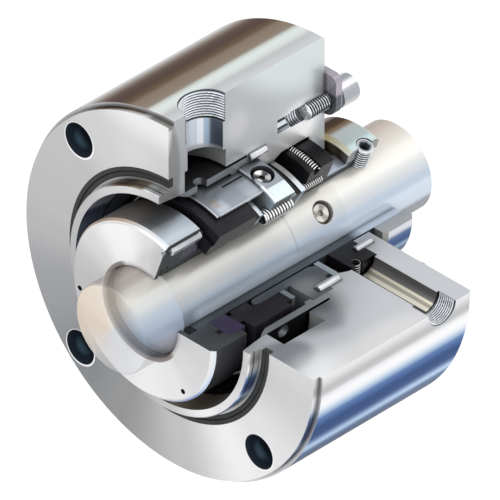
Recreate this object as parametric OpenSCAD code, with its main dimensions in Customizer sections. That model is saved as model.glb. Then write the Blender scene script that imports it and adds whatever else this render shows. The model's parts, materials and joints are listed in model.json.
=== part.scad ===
// Cartridge pusher mechanical seal on a stub shaft, opened by a quarter so that its section shows.
// The shaft runs along Y. The gland bolts on by its front face, which lies at y = 0, and the
// pumped liquid is on the -Y side. An angle is measured about the shaft from +X towards +Z.

/* [Shaft] */
// Diameter of the shaft that the cartridge is made for
shaft_d = 50; // [42:0.5:60]
// Length of shaft that shows ahead of the sleeve
shaft_ahead = 21.8; // [12:0.1:60]
// Length of shaft that shows behind the clamp ring
shaft_behind = 26; // [12:0.5:80]
// Break on each shaft end
shaft_edge = 0.8; // [0.3:0.1:2]
// Place of the recessed screw on the shaft, behind the mounting face
shaft_screw_y = 90; // [84:0.5:96]
// Angle of the recessed screw on the shaft
shaft_screw_angle = 40; // [30:1:45]

/* [Sleeve] */
// Wall of the sleeve
sleeve_wall = 5.5; // [4.5:0.1:8]
// Reach of the cup ahead of the seat pocket's floor
cup_web = 16.5; // [14:0.1:24]
// Wall of the cup outside the rotating face
cup_rim = 5; // [3.5:0.1:9]
// Depth of the pocket that holds the rotating face
pocket_depth = 7.5; // [7:0.1:9]
// Bevel round the cup's front edge
cup_bevel = 2.2; // [0.5:0.1:3]
// Cord thickness of the ring between sleeve and shaft
sleeve_cord = 5.6; // [4:0.1:6]
// Cord thickness of the ring behind the rotating face
face_cord = 3; // [2:0.1:3.4]

/* [Rotating face] */
// Thickness of the rotating face
face_t = 11.25; // [10:0.05:14]
// Radial width of the rotating face
face_width = 14.8; // [13:0.1:18]
// Diameter of the pins that drive the rotating face
drive_pin_d = 5; // [3:0.1:5.5]
// Number of drive pins
drive_pins = 3; // [3:1:6]

/* [Stationary face] */
// Length of the stationary face
carbon_len = 32.7; // [30:0.1:40]
// Radial width of the stationary face behind its step
carbon_width = 12.6; // [12:0.1:15]
// Height of the lapped nose
nose_h = 2.7; // [1.5:0.1:3]
// Radial width of the lapped nose
nose_width = 7.4; // [5:0.1:8]
// Cord thickness of the pusher ring
pusher_cord = 2.9; // [2:0.1:3]
// Thickness of the thrust ring
thrust_t = 3; // [2:0.1:5]
// Travel of the stationary face
face_travel = 1.5; // [0.5:0.1:2]

/* [Spring carrier] */
// Number of spring pockets that the whole ring would have
spring_count = 6; // [5:1:7]
// Outside diameter of the seal springs
spring_d = 7.8; // [6:0.1:8]
// Wire of the seal springs
spring_wire = 1.2; // [0.8:0.05:1.3]
// Fitted length of the seal springs
spring_len = 21; // [18:0.5:26]
// Turns of each seal spring
spring_turns = 11; // [8:0.5:11.5]
// Wall of the tube that the stationary face slides on
tube_wall = 5; // [4:0.1:7]
// Reach of that tube inside the stationary face
tube_reach = 16.3; // [12:0.1:16.8]
// Thickness of the carrier's flange
flange_t = 13.6; // [12:0.1:18]
// Wall of the band round the stationary face
band_wall = 1.6; // [1.2:0.1:2.5]
// Length of the band ahead of the flange
band_len = 32; // [24:0.5:35]
// Length of the hub behind the flange
hub_len = 7.9; // [6:0.1:12]
// Cord thickness of the ring on the hub
hub_cord = 3.2; // [2.4:0.1:3.6]
// Diameter of the counterbores in the flange
counterbore_d = 12.4; // [10.4:0.1:12.8]
// Diameter of the recessed screws' heads
recessed_head_d = 9.8; // [7:0.1:10]

/* [Flow guide] */
// Wall of the flow guide
guide_wall = 4; // [3:0.1:6]
// Number of flow holes round the whole ring
flow_holes = 15; // [8:1:18]
// Diameter of the flow holes
flow_hole_d = 7.2; // [4:0.1:9]

/* [Throttle bushing] */
// Space between the retainer and the bushing
bushing_gap = 7.5; // [5:0.1:10]
// Length of the carbon bushing
bushing_len = 17.4; // [15:0.1:24]
// Radial width of the carbon bushing
bushing_width = 16.8; // [16:0.1:20]
// Thickness of the retainer in front of it
retainer_t = 3.4; // [2:0.1:6]
// Diameter of the garter spring's coil
garter_d = 5; // [4:0.1:6]
// Turns of the garter spring for each turn round the bushing
garter_turns = 190; // [120:1:200]
// Outside diameter of the bushing's axial springs
small_spring_d = 4; // [3:0.1:4.4]

/* [Gland] */
// Wall of the gland outside the flush cavity
gland_wall = 34.2; // [33:0.1:50]
// Height of the step between the front face's edge and the gland's outside
gland_step = 2.2; // [1:0.1:4]
// Depth of that step from the mounting face
step_depth = 4; // [2:0.1:10]
// Depth of the flush cavity outside the flow guide
cavity_depth = 12.5; // [8:0.1:14]
// Length of the flush cavity
cavity_len = 29; // [28:0.5:32]
// Reach of the pilot lip ahead of the mounting face
lip_len = 7; // [3:0.1:12]
// Wall of the pilot lip
lip_wall = 6.5; // [4:0.1:7]
// Radial width of the gasket
gasket_width = 5.2; // [3:0.1:7]
// Thickness of the gasket
gasket_t = 3; // [1.5:0.1:5]
// Thickness of the gland's back wall
back_wall = 11; // [9:0.1:20]
// Distance of the bolt circle outside the flush cavity
bolt_inset = 20; // [19:0.1:24]
// Diameter of the gland's bolt holes
bolt_hole_d = 19.5; // [14:0.1:20]
// Bore of the flush port
flush_bore = 25; // [12:0.5:26]
// Bore of the vent port at the back
vent_bore = 16.5; // [8:0.5:17]
// Step from each port's bore to its threaded mouth
port_step = 1.5; // [0.8:0.1:2]
// Depth of the flush port's threaded mouth
flush_mouth = 17; // [10:0.5:22]
// Depth of the vent port's threaded mouth
vent_mouth = 12; // [8:0.5:20]

/* [Clamping] */
// Length of the clamp ring
clamp_len = 22; // [18:0.5:30]
// Wall of the clamp ring
clamp_wall = 8.4; // [6:0.1:12]
// Diameter of the set screws
set_screw_d = 9.52; // [6:0.02:10]
// Diameter of the cap screws
cap_screw_d = 9.52; // [8:0.02:10]
// Distance of the cap screws outside the bushing's pocket
cap_screw_inset = 16.5; // [16:0.1:22]
// Distance of the setting plates' inner edge from their screws while parked
plate_inner = 8; // [7.6:0.1:9]
// Distance of their outer edge from their screws while parked
plate_outer = 17; // [12:0.5:20]
// Thickness of the setting plates
plate_t = 4.5; // [3:0.1:7]
// Reach of the setting plates from their screws
plate_reach = 30; // [29:0.5:31]
// Turn of a parked setting plate from pointing outwards
plate_park = 90; // [85:1:92]

/* [Section] */
// Angle at which the gland's cut ends
gland_cut = 90; // [85:1:100]
// Angle at which the sleeve's cut ends
rotor_cut = 70; // [65:1:80]
// Angle at which the stationary face's cut ends
face_cut = 60; // [50:1:62]
// Angle at which the bushing's cut ends
bushing_cut = 67; // [64:1:75]

/* [Hidden] */
$fn = 96;

// Clearances
slip = 0.03;
fit = 0.1;
seat = 0.05;
film = 0.02;
overcut = 1;
edge = 0.4;

// Radii, from the shaft outwards
shaft_r = shaft_d / 2;
sleeve_bore_r = shaft_r + slip;
sleeve_r = shaft_r + sleeve_wall;
face_bore_r = sleeve_r + fit;
face_r = face_bore_r + face_width;
pocket_r = face_r + fit;
cup_r = pocket_r + cup_rim;
running_gap = 1;
tube_bore_r = sleeve_r + running_gap;
tube_r = tube_bore_r + tube_wall;
carbon_front_bore_r = sleeve_r + 0.7 * running_gap;
carbon_bore_r = tube_r + fit;
carbon_r = carbon_bore_r + carbon_width;
band_gap = 0.6;
band_bore_r = carbon_r + band_gap;
band_r = band_bore_r + band_wall;
flange_rise = 2;
flange_r = band_r + flange_rise;
guide_bore_r = flange_r + fit;
guide_r = guide_bore_r + guide_wall;
cavity_r = guide_r + cavity_depth;
gland_r = cavity_r + gland_wall;
bolt_circle_r = cavity_r + bolt_inset;
lip_r = guide_r + lip_wall;
gasket_inset = 1.6;
gasket_bore_r = lip_r + gasket_inset;
gasket_r = gasket_bore_r + gasket_width;
spring_clear = 0.35;
spring_pocket_r = spring_d / 2 + spring_clear;
spring_pitch_r = tube_r + fit + spring_pocket_r;
hub_wall = 0.9;
hub_r = spring_pitch_r + spring_pocket_r + hub_wall;
thrust_bore_r = tube_r + fit;
thrust_r = spring_pitch_r + spring_pocket_r;
pusher_r = tube_r + seat + pusher_cord / 2;
bushing_bore_r = sleeve_r + fit;
bushing_r = bushing_bore_r + bushing_width;
pocket_room = 1.1;
bushing_pocket_r = bushing_r + pocket_room;
cap_screw_pitch_r = bushing_pocket_r + cap_screw_inset;
clamp_bore_r = sleeve_r + slip;
clamp_r = clamp_bore_r + clamp_wall;
drive_pin_pitch_r = face_r - 0.4;

// Places along the shaft, from the mounting face backwards
pocket_floor = -2.5;
cup_front = pocket_floor - cup_web;
face_front = pocket_floor + face_t;
nose_y = face_front + film;
carbon_back = nose_y + carbon_len;
thrust_back = carbon_back + thrust_t;
spring_seat = thrust_back + spring_len;
travel_room = 3;
flange_front = thrust_back + face_travel + travel_room;
flange_back = flange_front + flange_t;
hub_back = max(flange_back + hub_len, spring_seat + hub_cord + 2);
retainer_front = hub_back + fit;
retainer_back = retainer_front + retainer_t;
bushing_front = retainer_back + bushing_gap;
bushing_back = bushing_front + bushing_len;
pocket_back = bushing_back + fit;
gland_len = pocket_back + back_wall;
guide_front = 7.6;
web_t = 3.65;
cavity_front = guide_front + web_t;
cavity_back = cavity_front + cavity_len;
guide_setback = 4.6;
guide_back = flange_back - guide_setback;
tube_front = carbon_back - tube_reach;
carbon_step = tube_front - face_travel - 0.5;
plate_y = gland_len + film;
washer_y = plate_y + plate_t + film;
clamp_front = plate_y + plate_t + fit;
clamp_back = clamp_front + clamp_len;
sleeve_back = clamp_back - 2.5;
shaft_front = cup_front - shaft_ahead;
shaft_back = clamp_back + shaft_behind;
set_screw_y = (clamp_front + clamp_back) / 2;
flush_y = (cavity_front + cavity_back) / 2;
vent_setback = 14.7;
vent_y = retainer_back + vent_setback;

// Angles of what repeats
third = 360 / 3;
end_margin = 16;
function ring_angles(first, count) =
    [for (i = [0 : count - 1]) if (first + i * 360 / count <= 360 - end_margin) first + i * 360 / count];
spring_angles = ring_angles(face_cut, spring_count);
set_screw_angles = ring_angles(rotor_cut, 3);
drive_pin_angles = ring_angles(rotor_cut, drive_pins);
small_spring_angles = ring_angles(bushing_cut, 3);
cap_screw_angles = ring_angles(gland_cut, 3);
recessed_angles = [for (i = [0 : 2]) 78.5 + i * third];
band_slot_angles = [for (i = [0 : 2]) 86 + i * third];
bolt_angles = [135, 225, 315];
band_lower_cut = -8;

// Turns an outline of [radius, y] points about the shaft's axis, left open between two angles
module turned(outline, open_from, open_to) {
    rotate([-90, 0, 0])
        rotate_extrude(start = -open_from, angle = 360 - (open_to - open_from))
            polygon(outline);
}

// A full turn of an outline of [radius, y] points
module turned_full(outline) {
    rotate([-90, 0, 0])
        rotate_extrude()
            polygon(outline);
}

// Puts what is drawn along +Z beside the shaft, pointing along +Y
module beside(angle, radius, y) {
    rotate([0, -angle, 0])
        translate([radius, y, 0])
            rotate([-90, 0, 0])
                children();
}

// Puts what is drawn along +Z on the shaft's axis, pointing outwards
module outward(angle, y) {
    translate([0, y, 0])
        rotate([0, -angle, 0])
            rotate([0, 90, 0])
                children();
}

// The same from one height to another above the axis
module outward_hole(angle, y, r, from, to) {
    outward(angle, y)
        translate([0, 0, from])
            cylinder(r = r, h = to - from);
}

// A cord ring in a groove, with its section's centre at a radius and a place along the shaft
module cord_ring(centre_r, centre_y, cord_d, open_to) {
    rotate([-90, 0, 0])
        rotate_extrude(start = 0, angle = 360 - open_to)
            translate([centre_r, centre_y])
                circle(d = cord_d, $fn = 32);
}

// A round pin with broken ends, along +Z from 0
module pin(d, length) {
    rotate_extrude($fn = 48)
        polygon([
            [0, 0], [d / 2 - edge, 0], [d / 2, edge], [d / 2, length - edge],
            [d / 2 - edge, length], [0, length]
        ]);
}

// A hexagon socket, along +Z from 0
module hex_socket(across_flats, depth) {
    cylinder(d = across_flats / cos(30), h = depth, $fn = 6);
}

// A wire swept along a list of [centre, side direction, end direction] frames
module wire(frames, wire_r, sides) {
    count = len(frames);
    points = [
        for (f = frames, k = [0 : sides - 1])
            f[0] + wire_r * (cos(360 * k / sides) * f[1] + sin(360 * k / sides) * f[2])
    ];
    walls = [
        for (i = [0 : count - 2], k = [0 : sides - 1])
            let (a = i * sides + k, b = i * sides + (k + 1) % sides)
                each [[a, b, b + sides], [a, b + sides, a + sides]]
    ];
    first_cap = [for (k = [0 : sides - 1]) sides - 1 - k];
    last_cap = [for (k = [0 : sides - 1]) (count - 1) * sides + k];
    polyhedron(points = points, faces = concat(walls, [first_cap, last_cap]));
}

// A compression spring along +Z from 0, with its end turns closed
module compression_spring(d, wire_d, length, turns, steps, sides) {
    mean_r = (d - wire_d) / 2;
    rise = length - wire_d;
    closed = 0.75;
    end_pitch = 1.1 * wire_d;
    end_rise = end_pitch * closed;
    function height(t) =
        t < closed ? end_pitch * t
        : t > turns - closed ? rise - end_pitch * (turns - t)
        : end_rise + (rise - 2 * end_rise) * (t - closed) / (turns - 2 * closed);
    frames = [
        for (i = [0 : steps * turns])
            let (t = i / steps, a = 360 * t)
                [
                    [mean_r * cos(a), mean_r * sin(a), wire_d / 2 + height(t)],
                    [cos(a), sin(a), 0],
                    [0, 0, 1]
                ]
    ];
    wire(frames, wire_d / 2, sides);
}

// A coil spring bent round the shaft's axis, from one angle to a full turn
module bent_spring(ring_r, y, coil_d, wire_d, turns, from, steps, sides) {
    coil_r = (coil_d - wire_d) / 2;
    frames = [
        for (i = [0 : floor(turns * steps * (360 - from) / 360)])
            let (
                a = from + i * 360 / (turns * steps),
                b = 360 * i / steps,
                out = [cos(a), 0, sin(a)],
                side = cos(b) * out + sin(b) * [0, 1, 0]
            )
                [ring_r * out + [0, y, 0] + coil_r * side, side, [-sin(a), 0, cos(a)]]
    ];
    wire(frames, wire_d / 2, sides);
}

// Points of an arc about a centre
function arc(centre, r, from, to, steps) =
    [for (i = [0 : steps]) let (a = from + (to - from) * i / steps) centre + r * [cos(a), sin(a)]];

// A socket screw sunk in a counterbore, drawn along +Z with its head's top at 0
recessed_socket = 4.8;
recessed_head_h = 4;
recessed_shank_d = 6;
recessed_shank_len = 8;
recess_depth = 1.9;
module recessed_screw() {
    difference() {
        union() {
            translate([0, 0, -recessed_head_h])
                cylinder(d = recessed_head_d, h = recessed_head_h, $fn = 48);
            translate([0, 0, -recessed_head_h - recessed_shank_len])
                cylinder(d = recessed_shank_d, h = recessed_head_h + recessed_shank_len, $fn = 48);
        }
        translate([0, 0, -recessed_head_h + 1])
            hex_socket(recessed_socket, recessed_head_h);
    }
}

// The hole that a sunk screw sits in, drawn along +Z with the surface at 0
module recessed_hole() {
    floor_z = -recess_depth - recessed_head_h;
    translate([0, 0, floor_z])
        cylinder(d = counterbore_d, h = overcut * 4 - floor_z, $fn = 48);
    translate([0, 0, floor_z - recessed_shank_len - overcut])
        cylinder(d = recessed_shank_d + 2 * seat, h = recessed_shank_len + 2 * overcut, $fn = 48);
}

recess_edge = 6.5;
recessed_y = flange_front + recess_edge;

// Where the pins stand
flow_pin_d = 4.5;
flow_pin_sunk = 10;
flow_pin_slot = 1.5;
flow_pin_pitch_r = guide_bore_r + guide_wall * 0.8;
carrier_pin_d = 5;
carrier_pin_sunk = 6.5;
carrier_pin_out = hub_back - flange_back;
carrier_pin_pitch_r = flange_r - 4.4;
throttle_pin_d = 4;
throttle_pin_sunk = 5;
throttle_pin_out = 6.5;
throttle_pin_inset = 7.4;
throttle_pin_pitch_r = bushing_bore_r + throttle_pin_inset;
pin_drill = 0.5;

// The gland plate, one turned piece with its ports, bolt holes and screw holes
lip_mouth = 1.9;
lip_edge = 0.6;
lip_groove = 0.7;
gland_edge = 1.5;
guide_seat_r = guide_r + seat;
hub_seat_r = hub_r + fit;
tap_depth = 24;
drill_depth = 33.5;
tap_core_r = cap_screw_d / 2 - 0.6;
back_bore_r = sleeve_r + running_gap;
pocket_slope = 5;
guide_pilot = 2.5;
relief = 1.5;
module gland_plate() {
    outline = [
        [guide_seat_r + lip_mouth, -lip_len], [lip_r - lip_edge, -lip_len], [lip_r, -lip_len + lip_edge],
        [lip_r, -lip_len / 2 - lip_groove], [lip_r - lip_groove, -lip_len / 2 - lip_groove],
        [lip_r - lip_groove, -lip_len / 2], [lip_r, -lip_len / 2], [lip_r, 0],
        [gasket_bore_r - fit, 0], [gasket_bore_r - fit, gasket_t + fit],
        [gasket_r + fit, gasket_t + fit], [gasket_r + fit, 0], [gland_r - gland_step, 0],
        [gland_r - gland_step, step_depth], [gland_r, step_depth], [gland_r, gland_len - gland_edge],
        [gland_r - gland_edge, gland_len], [back_bore_r, gland_len], [back_bore_r, pocket_back],
        [bushing_pocket_r, pocket_back], [bushing_pocket_r, retainer_back + pocket_slope],
        [hub_seat_r, retainer_back], [hub_seat_r, flange_back + fit], [guide_bore_r, flange_back + fit],
        [guide_bore_r, guide_back + fit], [guide_seat_r, guide_back + fit], [guide_seat_r, guide_back - guide_pilot],
        [guide_seat_r + relief, guide_back - guide_pilot], [guide_seat_r + relief, cavity_back],
        [cavity_r, cavity_back], [cavity_r, cavity_front], [guide_seat_r, cavity_front],
        [guide_seat_r, guide_front - fit]
    ];
    color([0.78, 0.79, 0.8])
        difference() {
            turned(outline, 0, gland_cut);
            for (a = bolt_angles)
                beside(a, bolt_circle_r, -overcut)
                    cylinder(d = bolt_hole_d, h = gland_len + 2 * overcut);
            outward_hole(gland_cut, flush_y, flush_bore / 2, guide_r + 2, gland_r + overcut);
            outward_hole(gland_cut, flush_y, flush_bore / 2 + port_step, gland_r - flush_mouth, gland_r + overcut);
            outward_hole(0, vent_y, vent_bore / 2, bushing_r - 4, gland_r + overcut);
            outward_hole(0, vent_y, vent_bore / 2 + port_step, gland_r - vent_mouth, gland_r + overcut);
            for (a = cap_screw_angles) {
                beside(a, cap_screw_pitch_r, gland_len - tap_depth)
                    cylinder(d = cap_screw_d + 2 * seat, h = tap_depth + overcut, $fn = 48);
                beside(a, cap_screw_pitch_r, gland_len - drill_depth)
                    cylinder(r = tap_core_r, h = drill_depth, $fn = 48);
            }
            beside(gland_cut, flow_pin_pitch_r, guide_back - 2 * overcut)
                cylinder(d = flow_pin_d + 2 * seat, h = flow_pin_sunk + pin_drill + 2 * overcut, $fn = 48);
            beside(0, carrier_pin_pitch_r, flange_back - overcut)
                cylinder(d = carrier_pin_d + 2 * seat, h = carrier_pin_out + pin_drill + overcut, $fn = 48);
            beside(0, throttle_pin_pitch_r, pocket_back - overcut)
                cylinder(d = throttle_pin_d + 2 * seat, h = throttle_pin_out + pin_drill + overcut, $fn = 48);
        }
}

// The flat gasket in the mounting face, with a shallow groove round its front
gasket_groove = 0.5;
gasket_sink = 0.15;
module gland_gasket() {
    middle_r = (gasket_bore_r + gasket_r) / 2;
    color([0.1, 0.1, 0.11])
        turned([
            [gasket_bore_r, gasket_sink], [middle_r - gasket_groove, gasket_sink],
            [middle_r, gasket_sink + gasket_groove], [middle_r + gasket_groove, gasket_sink],
            [gasket_r, gasket_sink], [gasket_r, gasket_t], [gasket_bore_r, gasket_t]
        ], 0, gland_cut);
}

// The drilled tube that leads the flush liquid to the faces
guide_mouth = 3.4;
guide_lip = 1.5;
rib_w = 4.5;
flow_first = 91.5;
flow_y = flush_y - 2.3;
module flow_guide() {
    rib_r = band_r + fit;
    rib_back = flange_front - edge;
    outline = [
        [guide_r - edge, guide_front], [guide_r, guide_front + edge], [guide_r, guide_back],
        [guide_bore_r, guide_back], [guide_bore_r, rib_back], [rib_r, rib_back - edge],
        [rib_r, rib_back - rib_w], [guide_bore_r, rib_back - rib_w - edge],
        [guide_bore_r, guide_front + 2 * guide_mouth],
        [guide_bore_r + guide_lip, guide_front + guide_mouth]
    ];
    color([0.72, 0.75, 0.76])
        difference() {
            turned(outline, 0, gland_cut);
            for (i = [0 : flow_holes - 1])
                outward_hole(flow_first + i * 360 / flow_holes, flow_y, flow_hole_d / 2, guide_bore_r - 2, guide_r + 2);
            beside(gland_cut, flow_pin_pitch_r, guide_back - flow_pin_slot)
                cylinder(d = flow_pin_d + 2 * seat, h = flow_pin_slot + overcut, $fn = 48);
        }
}

// The pin that keeps the flow guide from turning
module flow_guide_pin() {
    color([0.85, 0.86, 0.88])
        beside(gland_cut, flow_pin_pitch_r, guide_back - flow_pin_slot + seat)
            pin(flow_pin_d, flow_pin_sunk + flow_pin_slot);
}

// The spring carrier: tube, flange with the spring pockets, hub and the band round the stationary face
tube_nose_r = 2.3;
tube_nose_steps = 5;
band_slot_w = 1.2;
band_slot_len = 14;
band_slot_end = 1;
hub_groove = hub_cord - fit;
module spring_carrier() {
    nose_centre = [(tube_bore_r + tube_r) / 2, tube_front + tube_nose_r];
    body = concat(
        [[tube_bore_r, tube_front + tube_nose_r + 1]],
        arc(nose_centre, tube_nose_r, 180, 360, 2 * tube_nose_steps),
        [
            [tube_r, tube_front + tube_nose_r + 1], [tube_r, flange_front],
            [flange_r - 2 * edge, flange_front], [flange_r, flange_front + 2 * edge],
            [flange_r, flange_back - edge], [flange_r - edge, flange_back], [hub_r, flange_back],
            [hub_r, hub_back - hub_cord - seat], [hub_r - hub_groove, hub_back - hub_cord - seat],
            [hub_r - hub_groove, hub_back], [tube_bore_r + 2, hub_back], [tube_bore_r, hub_back - 4]
        ]
    );
    band = [
        [band_bore_r + edge, flange_front - band_len], [band_r - edge, flange_front - band_len],
        [band_r, flange_front - band_len + edge], [band_r, flange_front + overcut],
        [band_bore_r, flange_front + overcut], [band_bore_r, flange_front - band_len + edge]
    ];
    color([0.66, 0.68, 0.72])
        difference() {
            union() {
                turned(body, 0, face_cut);
                turned(band, band_lower_cut, rotor_cut);
            }
            for (a = spring_angles)
                beside(a, spring_pitch_r, flange_front - overcut)
                    cylinder(r = spring_pocket_r, h = spring_seat - flange_front + overcut, $fn = 64);
            for (a = recessed_angles)
                outward(a, recessed_y)
                    translate([0, 0, flange_r])
                        recessed_hole();
            for (a = band_slot_angles)
                outward(a, flange_front - band_slot_len / 2 - band_slot_end)
                    translate([-band_slot_w / 2, -band_slot_len / 2, band_bore_r - 1])
                        cube([band_slot_w, band_slot_len, band_wall + 2]);
            beside(0, carrier_pin_pitch_r, flange_back - carrier_pin_sunk - pin_drill)
                cylinder(d = carrier_pin_d + 2 * seat, h = carrier_pin_sunk + pin_drill + overcut, $fn = 48);
        }
}

// The sunk screws in the carrier's flange
module carrier_screws() {
    color([0.85, 0.85, 0.83])
        for (a = recessed_angles)
            outward(a, recessed_y)
                translate([0, 0, flange_r - recess_depth + seat])
                    recessed_screw();
}

// The pin that keeps the carrier from turning in the gland
module carrier_pin() {
    color([0.85, 0.86, 0.88])
        beside(0, carrier_pin_pitch_r, flange_back - carrier_pin_sunk)
            pin(carrier_pin_d, carrier_pin_sunk + carrier_pin_out);
}

// The static ring between hub and gland
module hub_o_ring() {
    color([0.06, 0.06, 0.07])
        cord_ring(hub_r + fit - hub_cord / 2, hub_back - hub_cord / 2, hub_cord - 2 * seat, face_cut);
}

// The springs that push the stationary face forwards
module seal_springs() {
    color([0.8, 0.8, 0.8])
        for (a = spring_angles)
            beside(a, spring_pitch_r, thrust_back)
                compression_spring(spring_d, spring_wire, spring_len, spring_turns, 10, 5);
}

// The disc between the carrier's hub and the bushing's pocket
module throttle_retainer() {
    color([0.76, 0.77, 0.8])
        turned([
            [tube_bore_r, retainer_front], [hub_r, retainer_front], [hub_r, retainer_back - edge],
            [hub_r - edge, retainer_back], [tube_bore_r, retainer_back]
        ], 0, face_cut);
}

// The carbon throttle bushing, in segments held by its garter spring
garter_setback = 2.8;
garter_sink = 2;
garter_front = bushing_front + garter_setback;
garter_centre_r = bushing_r - garter_sink;
segment_gap = 0.4;
small_spring_inset = 5;
small_spring_pitch_r = bushing_bore_r + small_spring_inset;
small_pocket_depth = 12;
module throttle_bushing() {
    groove_r = garter_d / 2 + seat;
    garter_y = garter_front + groove_r;
    groove = arc([garter_centre_r, garter_y], groove_r, 270, 90, 12);
    outline = concat(
        [[bushing_bore_r + edge, bushing_front], [bushing_r - 2 * edge, bushing_front],
        [bushing_r, bushing_front + 2 * edge], [bushing_r, garter_y - groove_r]],
        groove,
        [[bushing_r, garter_y + groove_r], [bushing_r, bushing_back - edge], [bushing_r - edge, bushing_back],
        [bushing_bore_r, bushing_back], [bushing_bore_r, bushing_front + edge]]
    );
    color([0.13, 0.12, 0.15])
        difference() {
            turned(outline, 0, bushing_cut);
            for (a = small_spring_angles)
                beside(a, small_spring_pitch_r, bushing_front - overcut)
                    cylinder(d = small_spring_d + 0.6, h = small_pocket_depth + overcut, $fn = 48);
            for (a = [bushing_cut + third / 2, bushing_cut + 3 * third / 2])
                rotate([0, -a, 0])
                    translate([bushing_bore_r - overcut, bushing_front - overcut, -segment_gap / 2])
                        cube([bushing_width + 2 * overcut, bushing_len + 2 * overcut, segment_gap]);
            beside(0, throttle_pin_pitch_r, bushing_back - throttle_pin_sunk - pin_drill)
                cylinder(d = throttle_pin_d + 2 * fit, h = throttle_pin_sunk + pin_drill + overcut, $fn = 48);
        }
}

// The garter spring round the bushing
garter_wire = 0.7;
module garter_spring() {
    garter_y = garter_front + garter_d / 2 + seat;
    color([0.75, 0.75, 0.75])
        bent_spring(garter_centre_r, garter_y, garter_d, garter_wire, garter_turns, bushing_cut, 6, 3);
}

// The small springs that push the bushing against the gland's back wall
small_spring_wire = 0.6;
module throttle_springs() {
    length = bushing_gap + small_pocket_depth;
    color([0.75, 0.75, 0.75])
        for (a = small_spring_angles)
            beside(a, small_spring_pitch_r, retainer_back)
                compression_spring(small_spring_d, small_spring_wire, length, 15, 6, 3);
}

// The pin that keeps the bushing from turning
module throttle_pin() {
    color([0.85, 0.86, 0.88])
        beside(0, throttle_pin_pitch_r, bushing_back - throttle_pin_sunk)
            pin(throttle_pin_d, throttle_pin_sunk + throttle_pin_out);
}

// The cap screws that hold the setting plates
cap_head_d = cap_screw_d * 1.6;
cap_head_h = cap_screw_d * 1.2;
cap_grip = 15.5;
cap_socket = 7.9;
washer_t = 2.2;
module cap_screws() {
    shank = washer_y + washer_t + film - gland_len + cap_grip;
    color([0.75, 0.77, 0.8])
        for (a = cap_screw_angles)
            beside(a, cap_screw_pitch_r, gland_len - cap_grip)
                difference() {
                    union() {
                        pin(cap_screw_d, shank + overcut);
                        translate([0, 0, shank])
                            cylinder(d = cap_head_d, h = cap_head_h, $fn = 48);
                    }
                    translate([0, 0, shank + cap_head_h / 2])
                        hex_socket(cap_socket, cap_head_h);
                }
}

// The split washers under the cap screws' heads
washer_d = cap_screw_d * 1.58;
washer_split = 1;
module lock_washers() {
    color([0.5, 0.5, 0.52])
        for (a = cap_screw_angles)
            beside(a, cap_screw_pitch_r, washer_y)
                difference() {
                    cylinder(d = washer_d, h = washer_t, $fn = 48);
                    translate([0, 0, -overcut])
                        cylinder(d = cap_screw_d + 2 * fit, h = washer_t + 2 * overcut, $fn = 48);
                    translate([-washer_d, -washer_split / 2, -overcut])
                        cube([washer_d, washer_split, washer_t + 2 * overcut]);
                }
}

// A plate that sets the cartridge's length while it is fitted, parked beside its screw
plate_corner = 4;
module setting_plate(angle, side) {
    color([0.7, 0.71, 0.74])
        beside(angle, cap_screw_pitch_r, plate_y)
            mirror([0, side < 0 ? 1 : 0, 0])
                rotate([0, 0, -plate_park])
                    difference() {
                        linear_extrude(plate_t)
                            plate_shape();
                        translate([0, 0, -overcut])
                            cylinder(d = cap_screw_d + 2 * fit, h = plate_t + 2 * overcut, $fn = 48);
                    }
}

// The outline of a setting plate, pointing along +X from its screw, with its outer edge towards +Y
module plate_shape() {
    corners = [
        [plate_corner - plate_inner, plate_outer - plate_corner],
        [plate_reach - plate_corner, plate_outer - plate_corner],
        [plate_reach - plate_corner, plate_corner - plate_inner]
    ];
    union() {
        circle(r = plate_inner);
        for (c = corners)
            translate(c)
                circle(r = plate_corner, $fn = 32);
        translate([0, -plate_inner])
            square([plate_reach - plate_corner, plate_inner + plate_outer]);
        translate([-plate_inner, 0])
            square([plate_inner + plate_reach, plate_outer - plate_corner]);
        translate([plate_corner - plate_inner, 0])
            square([plate_inner - plate_corner, plate_outer]);
        translate([plate_reach - plate_corner, plate_corner - plate_inner])
            square([plate_corner, plate_inner]);
    }
}

// The shaft
module shaft() {
    color([0.88, 0.86, 0.82])
        difference() {
            turned_full([
                [0, shaft_front], [shaft_r - shaft_edge, shaft_front], [shaft_r, shaft_front + shaft_edge],
                [shaft_r, shaft_back - shaft_edge], [shaft_r - shaft_edge, shaft_back], [0, shaft_back]
            ]);
            outward(shaft_screw_angle, shaft_screw_y)
                translate([0, 0, shaft_r])
                    recessed_hole();
        }
}

// The screw sunk in the shaft
module shaft_screw() {
    color([0.8, 0.78, 0.75])
        outward(shaft_screw_angle, shaft_screw_y)
            translate([0, 0, shaft_r - recess_depth + seat])
                recessed_screw();
}

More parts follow.
